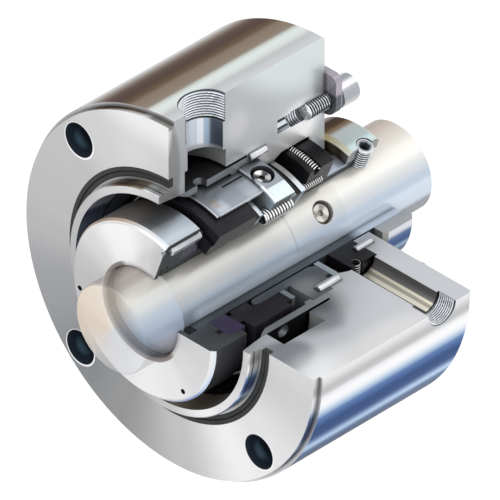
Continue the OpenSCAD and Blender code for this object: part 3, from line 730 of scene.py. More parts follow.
CLAMP_RIM = bands(
    (-180, 150), (-80, 176), (-36, 188, 194, 194), (-28, 108, 122, 150), (-22, 170, 194, 215),
    (-16, 90, 108, 150), (-9, 100, 122, 162), (-4, 226, 228, 234), (66, 206, 212, 214), (74, 216, 236, 238),
    (79, 186, 200, 200), (92, 192, 199, 199), (97, 140, 123, 102), (103, 94, 73, 58), (111, 76, 61, 55),
    (117, 150, 138, 134), (126, 190),
)
CLAMP_FACE = bands(
    (-180, 120), (-60, 110), (0, 180), (66, 156, 166, 178), (72, 120, 114, 108), (80, 84, 74, 64),
    (88, 126, 116, 100), (97, 70, 60, 50), (106, 96, 90, 84), (130, 90),
)
SLEEVE_EDGE = bands(
    (-180, 196), (-120, 220), (-75, 226, 232, 242), (-45, 150, 172, 214), (-30, 206, 222, 244),
    (-8, 228, 234, 240), (66, 214, 222, 230), (88, 204, 206, 210), (98, 196, 186, 178), (112, 176, 156, 140),
    (128, 158, 140, 126), (142, 196, 186, 178), (165, 196),
)
CLAMP_EDGE = bands(
    (-180, 190), (-20, 216, 220, 214), (60, 232, 238, 226), (90, 246, 242, 208), (97, 236, 222, 168),
    (103, 120, 98, 74), (118, 100, 84, 72), (130, 190),
)
CARRIER_EDGE = bands((-180, 206, 212, 218))
SHAFT_RIM = bands(
    (-180, 176, 178, 182), (-40, 168, 170, 173), (-16, 173, 176, 183), (-2, 184, 187, 201),
    (10, 187, 201, 220), (20, 200, 214, 231), (30, 223, 229, 235), (40, 240, 241, 240), (50, 251, 250, 245),
    (60, 247, 245, 238), (70, 240, 237, 229), (80, 234, 227, 219), (90, 222, 215, 207), (100, 214, 200, 193),
    (115, 194, 186, 179),
)
SHAFT_SHEEN_STREAKS = bands(
    (-45, 120, 118, 122), (-16, 138, 137, 144), (-4, 142, 148, 162), (8, 150, 168, 192), (22, 164, 186, 210),
    (36, 186, 203, 222), (48, 212, 218, 224), (62, 228, 226, 220), (74, 206, 202, 195), (82, 156, 150, 143),
    (88, 148, 142, 136), (94, 170, 164, 158), (104, 152, 146, 140), (118, 138, 132, 127),
    (135, 128, 122, 118),
)
SHAFT_FACE = bands(
    (-180, 224, 210, 192), (-60, 214, 216, 222), (0, 210, 218, 230), (90, 238, 230, 218),
    (150, 234, 220, 202),
)
DARK_BORE = bands(
    (-180, 96, 104, 120), (-120, 60, 60, 64), (-60, 44, 44, 46), (0, 86, 88, 92), (90, 40, 41, 44),
    (135, 96, 100, 110),
)


def layers(axis: int, low: Place, high: Place, soft: Place, *steps: tuple) -> tuple[Patch, ...]:
    """Patches that follow each other along one axis, as the painted light and shade on a hole's wall do.

    Args:
        axis: the axis that the steps run along, 0 to 2.
        low, high, soft: the corners and the softness on the other two axes.
        steps: (start, end, softness, colour) of each patch.

    Returns:
        The patches.
    """
    patches = []
    for *sizes, colour in steps:
        corners = [list(corner) for corner in (low, high, soft)]
        for corner, size in zip(corners, sizes):
            corner[axis] = size
        first, last, width = map(tuple, corners)
        patches.append(Patch(first, last, colour, width))
    return tuple(patches)


# Painted light and shade on the walls of the flush port, the vent port and the tapped hole, in bands along
# each hole.
FLUSH_WALL = layers(
    1, (-14, 0, 66), (-0.15, 0, 87.2), (0.1, 0, 0.3),
    (12, 30.9, 1.5, rgb(220, 228, 236)), (30.9, 34, 0.8, rgb(240, 245, 250)),
    (34, 36, 0.8, rgb(176, 196, 216)), (36, 40, 0.8, rgb(100, 110, 124)),
) + (Patch((-14, 12, 66), (-0.15, 40, 71.5), rgb(190, 192, 196), (0.1, 0.3, 1.5)),)
VENT_WALL = layers(
    1, (40, 0, -9), (93, 0, -0.15), (1, 0, 0.1),
    (94.6, 99, 0.5, rgb(134, 132, 132)), (93.6, 94.7, 0.3, rgb(244, 238, 216)),
    (91.9, 93.6, 0.5, rgb(178, 173, 160)), (89.4, 91.9, 0.5, rgb(240, 235, 220)),
    (80, 89.4, 0.3, rgb(80, 78, 76)),
)
TAPPED_WALL = layers(
    2, (-5, 74, 0), (-0.1, 86.3, 0), (0.1, 1, 0),
    (60, 61.2, 0.3, rgb(222, 227, 234)), (61.2, 61.9, 0.3, rgb(70, 80, 92)),
    (61.9, 63.6, 0.3, rgb(240, 245, 250)), (63.6, 70, 0.3, rgb(64, 70, 78)),
)


def on_circle(radius: float, angle: float) -> tuple[float, float]:
    """The X and Z of a place about the shaft, from its radius and its angle in degrees."""
    return radius * math.cos(math.radians(angle)), radius * math.sin(math.radians(angle))


def stud_holes(hole_r: float = 9.86, rim_r: float = 10.6, sheen: Place = (6.8, 7.5, 6.8)) -> tuple[Spot, ...]:
    """The painted highlights on the rims, the painted shade on the walls and the painted blue sheen
    of the three stud holes.

    Args:
        hole_r, rim_r: the radii of the wall and of the rim round it.
        sheen: how far the sheen lies left of, behind and below the middle of the hole's mouth.

    Returns:
        The spots.
    """
    rims, walls, sheens = [], [], []
    left, behind, below = sheen
    for angle in (135, 225, 315):
        x, z = on_circle(LAYOUT.bolt_circle_r, angle)
        rims.append(Spot((x + 0.1, 0, z - 0.35), (rim_r, 1.2, rim_r), grey(248), 0.97))
        walls.append(Spot((x, 55, z), (hole_r, 900, hole_r), rgb(78, 92, 108), 0.99))
        sheens.append(Spot((x - left, behind, z - below), (7.5, 3.8, 7.5), rgb(156, 200, 226), 0.1, 0.95))
    return tuple(rims + walls + sheens)


def sunk(radius: float, angle: float, y: float, colour: Colour, sink: float = 3.0) -> Spot:
    """The painted colour that sets a counterbore's shade: a ball, sunk below a radius, that meets the surface
    in its edge.
    """
    x, z = on_circle(radius - sink, angle)
    return Spot((x, y, z), (6.95, 6.95, 6.95), colour, 0.98)


class Finishes:
    """Every finish of the seal, built once and shared."""

    def __init__(self) -> None:
        """Builds the materials."""
        self.turned()
        self.shafts()
        self.small()

    def turned(self) -> None:
        """Builds the finishes of the gland, the carrier, the sleeve and the rings."""
        self.gland = TurnedMetal(
            "gland_steel", GLAND_RIM, GLAND_FACE, GLAND_BORE, (rgb(178, 179, 182), rgb(194, 197, 201)),
            cut_scale=9, back=grey(188), along=((-8, 0.9), (3.8, 0.9), (4, 1), (120, 1)),
            # Painted highlights and painted shade on the gland's two cut faces.
            cut_spots=(
                Spot((0, 140, 120), (104, 104, 52), rgb(217, 225, 224), 0.76),
                Spot((85, 60, 0), (60, 90, 3), rgb(206, 209, 213), 0.6),
                Spot((0, 0, 74), (6, 9.5, 34), grey(156), 0.7),
                Spot((0, 48, 80), (6, 12, 14), grey(208), 0.2, 0.8),
                Spot((0, 56, 46), (6, 40, 19), grey(232), 0.5),
                Spot((0, 92, 60), (6, 20, 17), grey(246), 0.4),
                Spot((78, 4, 0), (16, 20, 6), rgb(150, 153, 159), 0.6),
                Spot((106, 12, 0), (30, 34, 8), grey(253), 0.2),
                Spot((104, 50, 0), (20, 50, 8), grey(226), 0.3),
                Spot((56, 38, 0), (26, 30, 6), rgb(112, 116, 120), 0.35),
                Spot((70, 42, 0), (14, 12, 5), rgb(150, 154, 159), 0.2, 0.8),
            ),
            # A painted highlight across the top of the front face, two painted reflections on the rim by the
            # front face, and the painted light and shade in the ports, the tapped hole and the stud holes.
            spots=(
                Spot((0, 0, 104), (84, 3.5, 24), grey(244), 0.3, 0.7),
                Patch((87, 0.2, 100), (98.5, 3.9, 103), rgb(150, 148, 144), (3, 0.2, 0.5), True),
                Patch((-52, 0.2, 100), (-14, 3.9, 103), rgb(96, 106, 128), (3, 0.2, 0.5), True, 0.5),
            ) + FLUSH_WALL + VENT_WALL + TAPPED_WALL + stud_holes(),
        ).make()
        self.guide = TurnedMetal(
            "guide_steel", GUIDE_RIM, RING_FACE, DARK_BORE, (rgb(136, 141, 145), rgb(172, 177, 181)),
        ).make()
        self.ring = TurnedMetal(
            "ring_steel", RING_RIM, RING_FACE, DARK_BORE, (rgb(150, 160, 166), rgb(186, 198, 206)),
        ).make()
        at = LAYOUT
        # Painted shade in the counterbores of the carrier's three screws.
        carrier_screws = tuple(
            sunk(at.flange_r, at.carrier_screw_angle + turn, at.carrier_screw_y, rgb(112, 114, 120))
            for turn in THIRDS
        )
        self.carrier = TurnedMetal(
            "carrier_steel", CARRIER_RIM, RING_FACE, DARK_BORE, (rgb(98, 103, 107), rgb(122, 127, 132)),
            edge=CARRIER_EDGE, gap_shade=0.7,
            # A painted highlight on the cut face; then painted highlights on the flange's block and its edge,
            # painted reflections on the band, one of them tan, and the counterbores' painted shade.
            cut_spots=(Spot((43, 54, 0), (12, 16, 6), rgb(176, 180, 182), 0.1, 0.85),),
            spots=(
                Patch((50, 50, 51.9), (69, 62.7, 60), rgb(232, 244, 248), (0.5, 0.4, 0.3), True),
                Patch((50, 48.8, 51.5), (72.5, 49.9, 60), rgb(244, 248, 250), (0.5, 0.3, 0.3), True),
                Patch((66, 19, 49.4), (70.5, 48.7, 52), rgb(236, 242, 247), (0.5, 0.3, 0.3), True),
                Patch((71, 19.6, 50.8), (79, 27, 52), rgb(214, 222, 232), (2, 3, 0.3), True, 0.8),
                Patch((75, 20, 50.8), (82, 24, 52), rgb(196, 180, 160), (2.4, 2.4, 0.3), True, 0.6),
                Patch((71, 40, 50.8), (82, 49, 52), rgb(206, 212, 220), (2, 4, 0.3), True, 0.6),
            ) + carrier_screws,
        ).make()
        self.sleeve = TurnedMetal(
            "sleeve_steel", SLEEVE_RIM, SLEEVE_FACE, DARK_BORE, (rgb(84, 88, 91), rgb(108, 113, 117)),
            edge=SLEEVE_EDGE,
            # A painted sheen on the cut face; then a painted highlight round the cup's front edge, painted
            # shade on the ring round the bore's mouth, painted highlights inside the mouth and a painted blue
            # sheen by the clamp.
            cut_spots=(Patch((24, 104, -7), (34, 142, 1), rgb(206, 214, 224), (1, 8, 1)),),
            spots=(
                Patch((-181, -18.98, 48.3), (181, -17.9, 49.6), grey(236), (1, 0.02, 0.1), True, 0.85),
                Patch((118, -19.4, 24), (181, -18.6, 27.8), rgb(150, 142, 138), (8, 0.2, 0.3), True),
                Patch((-181, -19.4, 24), (-36, -18.6, 27.8), rgb(150, 142, 138), (8, 0.2, 0.3), True),
                Patch((100, -18.8, 24), (181, -8, 25.6), rgb(252, 244, 236), (4, 0.2, 0.3), True),
                Patch((-181, -18.8, 24), (-10, -8, 25.6), rgb(252, 244, 236), (4, 0.2, 0.3), True),
                Patch((66, 99, 29), (86, 116, 31.5), rgb(206, 216, 232), (3, 1, 0.5), True),
            ),
        ).make()
        self.clamp = TurnedMetal(
            "clamp_steel", CLAMP_RIM, CLAMP_FACE, DARK_BORE, (rgb(174, 176, 178), rgb(182, 184, 185)),
            edge=CLAMP_EDGE,
        ).make()

    def shafts(self) -> None:
        """Builds the finishes of the stub shaft and of its section."""
        self.shaft = TurnedMetal(
            "shaft_steel", SHAFT_RIM, SHAFT_FACE, DARK_BORE, (rgb(186, 188, 192), rgb(226, 228, 230)),
            rough=0.26, marks=0.03, back=grey(206), metallic=0.4, gap_shade=0.35, ghost=GHOST,
            # Painted shade along the shaft: it is darker from y = -14 to y = 103.6. Thin darker lines lie at
            # y = -0.6, 67.1 and 103.4.
            along=(
                (-41, 0.98), (-14.2, 0.9), (-14, 0.72), (-13, 0.72), (-0.9, 0.76), (-0.6, 0.55),
                (-0.3, 0.76), (30, 0.76), (50, 0.8), (66.9, 0.9), (67.1, 0.68), (67.3, 0.9), (84, 0.9),
                (103.2, 0.93), (103.4, 0.72), (103.6, 1), (164, 1),
            ),
            # Painted highlights: a pale blue streak along the shaft and a pale one on its faded front; then
            # the painted colour of the screw's counterbore, kept light to soften the shade in it.
            spots=(
                Patch((-12, -6, 24), (14, 170, 26), rgb(226, 237, 250), (7, 6, 1), True, 0.85),
                Patch((-12, -42, 24), (34, -14.5, 26), rgb(220, 226, 240), (10, 0.5, 1), True, 0.8),
                sunk(LAYOUT.shaft_r, LAYOUT.shaft_screw_angle, LAYOUT.shaft_screw_y, rgb(214, 210, 204)),
            ),
        ).make()
        self.section = SectionMetal("shaft_section", SHAFT_SHEEN_STREAKS, LAYOUT.shaft_r, 0.86).make()

    def small(self) -> None:
        """Builds the finishes of the plates, pins, screws, springs, rings and faces."""
        self.plate = PlainMetal(
            "plate_steel", rgb(182, 175, 186), rgb(168, 161, 172), metallic=0.5,
            # Painted shadow on the lower part of the top plate, below z = 71.
            spots=(Patch((-20, 109, 48), (20, 114.2, 71), rgb(92, 94, 102), (1, 0.3, 1.6)),),
        ).make()
        self.pin = PlainMetal("pin_steel", rgb(222, 224, 228), rgb(186, 189, 194), rough=0.16).make()
        self.washer = PlainMetal("washer_steel", rgb(96, 102, 108), rgb(48, 52, 58), rough=0.3).make()
        self.thread = Toned("thread_steel", rgb(44, 47, 52), rgb(148, 154, 162), rgb(250, 251, 253)).make()
        self.port = Toned("port_thread", rgb(80, 86, 94), rgb(190, 198, 208), rgb(252, 253, 255)).make()
        self.sunk_screw = Toned("sunk_screw", rgb(92, 92, 96), rgb(170, 170, 170), rgb(250, 248, 245)).make()
        self.shaft_screw = Toned(
            "shaft_screw", rgb(168, 164, 158), rgb(206, 202, 196), rgb(240, 237, 232), metallic=0.4,
        ).make()
        self.wire = Toned("spring_wire", rgb(20, 20, 23), rgb(118, 122, 126), rgb(252, 252, 252)).make()
        self.rubber = Moulded(
            "sealing_rubber", rgb(26, 26, 28), rgb(12, 12, 14), rough=0.36, gloss=0.3,
        ).make()
        self.gasket = Moulded("gasket_sheet", rgb(70, 71, 71), rgb(58, 58, 58), rough=0.5, gloss=0.1).make()
        self.carbon = Moulded("carbon", rgb(50, 47, 52), rgb(34, 32, 37), rough=0.34, depth=0.000012).make()
        self.bushing = Moulded(
            "bushing_carbon", rgb(34, 34, 38), rgb(12, 12, 15), rough=0.3, gloss=0.25, depth=0.000012,
        ).make()
        self.hard = Moulded("hard_face", rgb(76, 68, 94), rgb(58, 52, 76), rough=0.22, depth=0.000006).make()


# Surfaces


@dataclass
class Skin:
    """A surface: points in millimetres, faces counted outwards and each point's painted light, dark 0 to
    light 1.
    """

    points: np.ndarray
    faces: list
    tone: np.ndarray | None = None

    def flipped(self) -> "Skin":
        """The same surface with its faces counted the other way."""
        return Skin(self.points, [face[::-1] for face in self.faces], self.tone)


def inside_out(mesh: bpy.types.Mesh) -> bool:
    """Tells whether a closed mesh's faces look inwards, by the sign of its volume.

    Args:
        mesh: the mesh.

    Returns:
        Whether they look inwards.
    """
    points = np.empty(len(mesh.vertices) * 3)
    mesh.vertices.foreach_get("co", points)
    points = points.reshape(-1, 3)
    points -= points.mean(0)
    mesh.calc_loop_triangles()
    corners = np.empty(len(mesh.loop_triangles) * 3, dtype=np.int32)
    mesh.loop_triangles.foreach_get("vertices", corners)
    first, second, third = (points[corners[k::3]] for k in range(3))
    return float(np.einsum("ij,ij->", first, np.cross(second, third))) < 0.0


def to_object(name: str, skin: Skin, finish: bpy.types.Material, sharp: float = 32.0) -> bpy.types.Object:
    """Makes an object of a surface that was worked out in millimetres.

    Args:
        name: the piece's name.
        skin: the surface.
        finish: its material.
        sharp: edges that turn by more degrees than this stay crisp.

    Returns:
        The object, at the origin.
    """
    mesh = bpy.data.meshes.new(name)
    mesh.from_pydata((np.asarray(skin.points, float) * MM).tolist(), [], skin.faces)
    mesh.update()
    if inside_out(mesh):
        mesh.flip_normals()
    mesh.shade_smooth()
    mesh.set_sharp_from_angle(angle=math.radians(sharp))
    if skin.tone is not None:
        tone = mesh.attributes.new("tone", "FLOAT", "POINT")
        tone.data.foreach_set("value", np.clip(skin.tone, 0.0, 1.0).astype(np.float32))
    mesh.materials.append(finish)
    thing = bpy.data.objects.new(name, mesh)
    bpy.context.scene.collection.objects.link(thing)
    return thing


def grid_faces(rows: int, columns: int, wrap: bool) -> np.ndarray:
    """The squares of a grid of points.

    Args:
        rows, columns: how many points each way, row by row.
        wrap: whether the last column joins the first.

    Returns:
        One row of four corners for each square.
    """
    across = columns if wrap else columns - 1
    row, column = np.meshgrid(np.arange(rows - 1), np.arange(across), indexing="ij")
    after = (column + 1) % columns
    near, far = row * columns, (row + 1) * columns
    return np.stack([near + column, near + after, far + after, far + column], -1).reshape(-1, 4)


def capped(rows: int, ring: int) -> list[list[int]]:
    """The faces of a tube of some rings of points, with both ends closed."""
    last = (rows - 1) * ring
    return grid_faces(rows, ring, True).tolist() + [list(range(ring))[::-1], list(range(last, last + ring))]


def round_turn(count: int) -> np.ndarray:
    """The angles of evenly spaced places round a circle, in radians."""
    return np.linspace(0.0, 2.0 * np.pi, count, endpoint=False)


def revolved(outline: np.ndarray, first: float, last: float, steps: int) -> Skin:
    """A closed section carried round the shaft's axis: (r cos a, y, r sin a) for each angle a.

    Args:
        outline: the section's [radius, y] corners, in order.
        first, last: the angles, in degrees, where it starts and ends.
        steps: how many slices.

    Returns:
        The surface, with both ends closed.
    """
    outline = np.asarray(outline, float)
    shift = np.roll(outline, -1, 0)
    if np.sum(outline[:, 0] * shift[:, 1] - shift[:, 0] * outline[:, 1]) < 0:
        outline = outline[::-1]
    whole = abs(last - first) >= 360.0
    angle = np.radians(np.linspace(first, last, steps + 1)[: steps if whole else steps + 1])
    r, y = outline.T
    parts = [np.outer(np.cos(angle), r), np.tile(y, (len(angle), 1)), np.outer(np.sin(angle), r)]
    points = np.stack(parts, -1).reshape(-1, 3)
    if whole:
        faces = (grid_faces(len(angle) + 1, len(outline), True) % len(points)).tolist()
    else:
        faces = capped(len(angle), len(outline))
    return Skin(points, faces).flipped()


def swept(centres: np.ndarray, side: np.ndarray, other: np.ndarray, radius: float, ring: int) -> Skin:
    """A round wire along a path: centre + radius (cos b side + sin b other), with painted shade on its inner
    side.

    Args:
        centres: the path's points.
        side, other: two unit directions across the path at each point.
        radius: the wire's radius.
        ring: corners round the wire.

    Returns:
        The surface, with both ends closed.
    """
    turn = round_turn(ring)
    points = (
        centres[:, None, :]
        + radius * np.cos(turn)[None, :, None] * side[:, None, :]
        + radius * np.sin(turn)[None, :, None] * other[:, None, :]
    ).reshape(-1, 3)
    return Skin(points, capped(len(centres), ring), np.tile(0.5 + 0.5 * np.cos(turn), len(centres)))


def directions(angle: float) -> tuple[np.ndarray, np.ndarray]:
    """The directions away from the shaft and across it, at an angle about it in degrees."""
    a = math.radians(angle)
    return np.array([math.cos(a), 0.0, math.sin(a)]), np.array([math.sin(a), 0.0, -math.cos(a)])


def placed(points: np.ndarray, angle: float, radius: float, y: float) -> np.ndarray:
    """Carries points beside the shaft: their x points outwards there and their z along the shaft."""
    out, across = directions(angle)
    return (radius + points[:, :1]) * out + points[:, 1:2] * across + (y + points[:, 2:3]) * ALONG


def pointing_out(points: np.ndarray, angle: float, radius: float, y: float) -> np.ndarray:
    """Carries points to a radius, where their z points away from the shaft and their x along it."""
    out, across = directions(angle)
    return (radius + points[:, 2:3]) * out + points[:, 1:2] * across + (y + points[:, :1]) * ALONG


def merged(parts: list[Skin]) -> Skin:
    """Several surfaces as one.

    Args:
        parts: the surfaces.

    Returns:
        The joined surface.
    """
    faces, start = [], 0
    for part in parts:
        faces.extend([[corner + start for corner in face] for face in part.faces])
        start += len(part.points)
    points, tone = (np.concatenate([getattr(part, what) for part in parts]) for what in ("points", "tone"))
    return Skin(points, faces, tone)


def coil(mean_r: float, wire_r: float, length: float, turns: float, steps: int, ring: int) -> Skin:
    """A compression spring along +Z: a helix that rises evenly, but by little over the wire at both ends.

    Args:
        mean_r: the radius of the wire's centre line.
        wire_r: the wire's radius.
        length: from end to end.
        turns: how many turns.
        steps: points for each turn.
        ring: corners round the wire.

    Returns:
        The spring's surface.
    """
    turn = np.linspace(0.0, turns, int(turns * steps) + 1)
    closed = 0.9
    low = closed * 2.1 * wire_r
    rise = length - 2.0 * wire_r
    height = np.interp(turn, (0.0, closed, turns - closed, turns), (0.0, low, rise - low, rise))
    angle = 2.0 * np.pi * turn
    side = np.stack([np.cos(angle), np.sin(angle), np.zeros_like(angle)], -1)
    centres = mean_r * side + np.stack([np.zeros_like(angle), np.zeros_like(angle), wire_r + height], -1)
    other = np.tile([0.0, 0.0, 1.0], (len(turn), 1))
    return swept(centres, side, other, wire_r, ring).flipped()


def screw_surface(stations: list[list[float]], pitch: float, depth: float, ring: int) -> Skin:
    """A turned form along +Z whose radius may carry a thread or a hexagon.

    At angle u it is radius (1 + hex share (1 / cos(u to the nearest flat) - 1)) - thread share depth
    |sin(pi (z / pitch - u / 2 pi))|, and the thread's hollows carry painted shade.

    Args:
        stations: rows of [radius, z, thread share, hex share, tone of painted light], from the tip to the
            socket's floor.
        pitch: the thread's rise in a turn.
        depth: the thread's depth.
        ring: corners round the form.

    Returns:
        The surface, closed at both poles.
    """
    u = round_turn(ring)[None, :]
    radius, z, thread, hexagon, tone = np.array(stations, float).T[:, :, None]
    to_flat = (u + np.pi / 6.0) % (np.pi / 3.0) - np.pi / 6.0
    hollow = np.clip(thread, 0.0, 1.0) * np.abs(np.sin(np.pi * (z / pitch - u / (2.0 * np.pi))))
    r = radius * (1.0 + hexagon * (1.0 / np.cos(to_flat) - 1.0)) - depth * hollow
    points = np.stack([r * np.cos(u), r * np.sin(u), np.broadcast_to(z, r.shape)], -1).reshape(-1, 3)
    return Skin(points, capped(len(stations), ring), (tone * (1.0 - hollow) + 0.0 * u).reshape(-1))


def ride(thing: bpy.types.Object, body: Body, nodes: tuple[str, ...]) -> bpy.types.Object:
    """Puts a piece on its body in place of its solids.

    Args:
        thing: the piece.
        body: the body that it moves with.
        nodes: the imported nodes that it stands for, if any.

    Returns:
        The piece.
    """
    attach(thing, body.value)
    if nodes:
        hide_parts(*nodes)
    log.info("%s: %d faces", thing.name, len(thing.data.polygons))
    return thing


def cord_section(centre_r: float, centre_y: float, cord: float, corners: int = 28) -> np.ndarray:
    """The [radius, y] corners of a cord ring's round section, by its centre and its thickness."""
    turn = round_turn(corners)
    return np.stack([centre_r + cord / 2.0 * np.cos(turn), centre_y + cord / 2.0 * np.sin(turn)], -1)


# Sub-assemblies


@dataclass
class Carried:
    """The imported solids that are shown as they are, each with its finish."""

    finishes: Finishes
    frame: dict

    def dress(self) -> None:
        """Gives every shown solid its material; those without one here are pins, screws and springs."""
        f = self.finishes
        finish = {
            "gland_plate": f.gland, "gland_gasket": f.gasket, "flow_guide": f.guide,
            "spring_carrier": f.carrier, "throttle_retainer": f.ring, "throttle_bushing": f.bushing,
            "lock_washers": f.washer,
            "setting_plate_1": f.plate, "setting_plate_2": f.plate, "setting_plate_3": f.plate,
            "shaft": f.shaft, "shaft_sleeve": f.sleeve, "clamp_ring": f.clamp, "rotating_face": f.hard,
            "stationary_face": f.carbon, "thrust_ring": f.ring, "hub_o_ring": f.rubber,
            "sleeve_o_ring": f.rubber, "rotating_face_o_ring": f.rubber, "pusher_o_ring": f.rubber,
        }
        for name, node in self.frame["nodes"].items():
            node.data.materials.clear()
            node.data.materials.append(finish.get(name, f.pin))


@dataclass
class SealingRings:
    """The cord rings, each a round section carried round the shaft."""

    finishes: Finishes
    hub_cord: float = 3.16
    sleeve_cord: float = 5.6
    face_cord: float = 2.9
    sleeve_ring_r: float = 27.88
    face_ring_r: float = 39.6
    pusher_ring_r: float = 38.0
    inset: float = 1.5
    hub_setback: float = 1.6
    sleeve_setback: float = 5.5

    def build(self) -> None:
        """Builds the four cord rings in place of their solids."""
        at = LAYOUT
        hub = (at.hub_r - self.inset, at.hub_back - self.hub_setback, self.hub_cord)
        sleeve = (self.sleeve_ring_r, at.cup_front + self.sleeve_setback, self.sleeve_cord)
        hard = (self.face_ring_r, at.pocket_floor - self.inset, self.face_cord)
        pusher = (self.pusher_ring_r, at.carbon_back - self.inset, self.face_cord)
        for name, node, body, section, cut in (
            ("hub_ring", "hub_o_ring", Body.HOUSING, hub, at.face_cut),
            ("sleeve_ring", "sleeve_o_ring", Body.ROTOR, sleeve, at.rotor_cut),
            ("rotating_face_ring", "rotating_face_o_ring", Body.ROTOR, hard, at.rotor_cut),
            ("pusher_ring", "pusher_o_ring", Body.FACE, pusher, at.face_cut),
        ):
            skin = revolved(cord_section(*section), cut, 360.0, 120)
            ride(to_object(name, skin, self.finishes.rubber, 60.0), body, (node,))


@dataclass
class Springs:
    """The seal's coil springs, the bushing's small springs and its garter spring."""

    finishes: Finishes
    travel: float = 1.5
    mean_r: float = 3.3
    wire_r: float = 0.6
    turns: float = 11.0
    small_mean_r: float = 1.7
    small_wire_r: float = 0.3
    small_length: float = 19.5
    small_turns: float = 15.0
    garter_r: float = 2.15
    garter_wire_r: float = 0.35
    garter_turns: float = 190.0
    garter_sink: float = 2.0
    garter_setback: float = 5.35
    garter_steps: int = 12

    def build(self) -> None:
        """Builds the springs in place of their solids."""
        self.seal_springs()
        self.small_springs()
        self.garter()

    def shown(self, name: str, skin: Skin, node: str) -> bpy.types.Object:
        """Shows a coil on the housing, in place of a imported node."""
        return ride(to_object(name, skin, self.finishes.wire, 60.0), Body.HOUSING, (node,))

    def seal_springs(self) -> None:
        """The springs between carrier and thrust ring, at one fixed length."""
        at = LAYOUT
        length = at.spring_seat - at.thrust_back
        spring = coil(self.mean_r, self.wire_r, length, self.turns, 24, 10)
        springs = self.shown("seal_coils", merged([
            replace(spring, points=placed(spring.points, angle, at.spring_pitch_r, at.thrust_back))
            for angle in range(60, 360, 60)
        ]), "seal_springs")
        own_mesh(springs)

    def small_springs(self) -> None:
        """The springs that push the bushing back."""
        at = LAYOUT
        spring = coil(self.small_mean_r, self.small_wire_r, self.small_length, self.small_turns, 16, 7)
        # The small springs carry lighter painted shade on their inner sides.
        spring.tone = 0.45 + 0.55 * spring.tone
        self.shown("bushing_coils", merged([
            replace(spring, points=placed(
                spring.points, at.bushing_cut + turn, at.small_spring_pitch_r, at.retainer_back,
            ))
            for turn in THIRDS
        ]), "throttle_springs")

    def garter(self) -> None:
        """The spring round the bushing: a helix about a circle, (R + a cos b) out + a sin b along."""
        at = LAYOUT
        closed = self.garter_turns * self.garter_steps
        count = np.arange(int(closed * (360.0 - at.bushing_cut) / 360.0) + 1)
        a = np.radians(at.bushing_cut + count * 360.0 / closed)
        b = 2.0 * np.pi * count / self.garter_steps
        out = np.stack([np.cos(a), np.zeros_like(a), np.sin(a)], -1)
        side = np.cos(b)[:, None] * out + np.sin(b)[:, None] * ALONG
        middle = (at.bushing_r - self.garter_sink) * out + (at.bushing_front + self.garter_setback) * ALONG
        other = np.stack([-np.sin(a), np.zeros_like(a), np.cos(a)], -1)
        skin = swept(middle + self.garter_r * side, side, other, self.garter_wire_r, 6)
        self.shown("garter_coils", skin, "garter_spring")


# The painted sheen on a cap screw's head: how bright it is drawn by the angle in degrees
# from its upper right side.
HEAD_SHEEN: tuple[tuple[float, float], ...] = (
    (-180, 0.3), (-90, 0.1), (-82, 0.2), (-72, 0.7), (-60, 0.46), (-32, 0.6), (-14, 0.9), (0, 0.62),
    (40, 0.56), (62, 0.62), (74, 0.95), (80, 0.9), (84, 0.15), (90, 0.1), (180, 0.3),
)


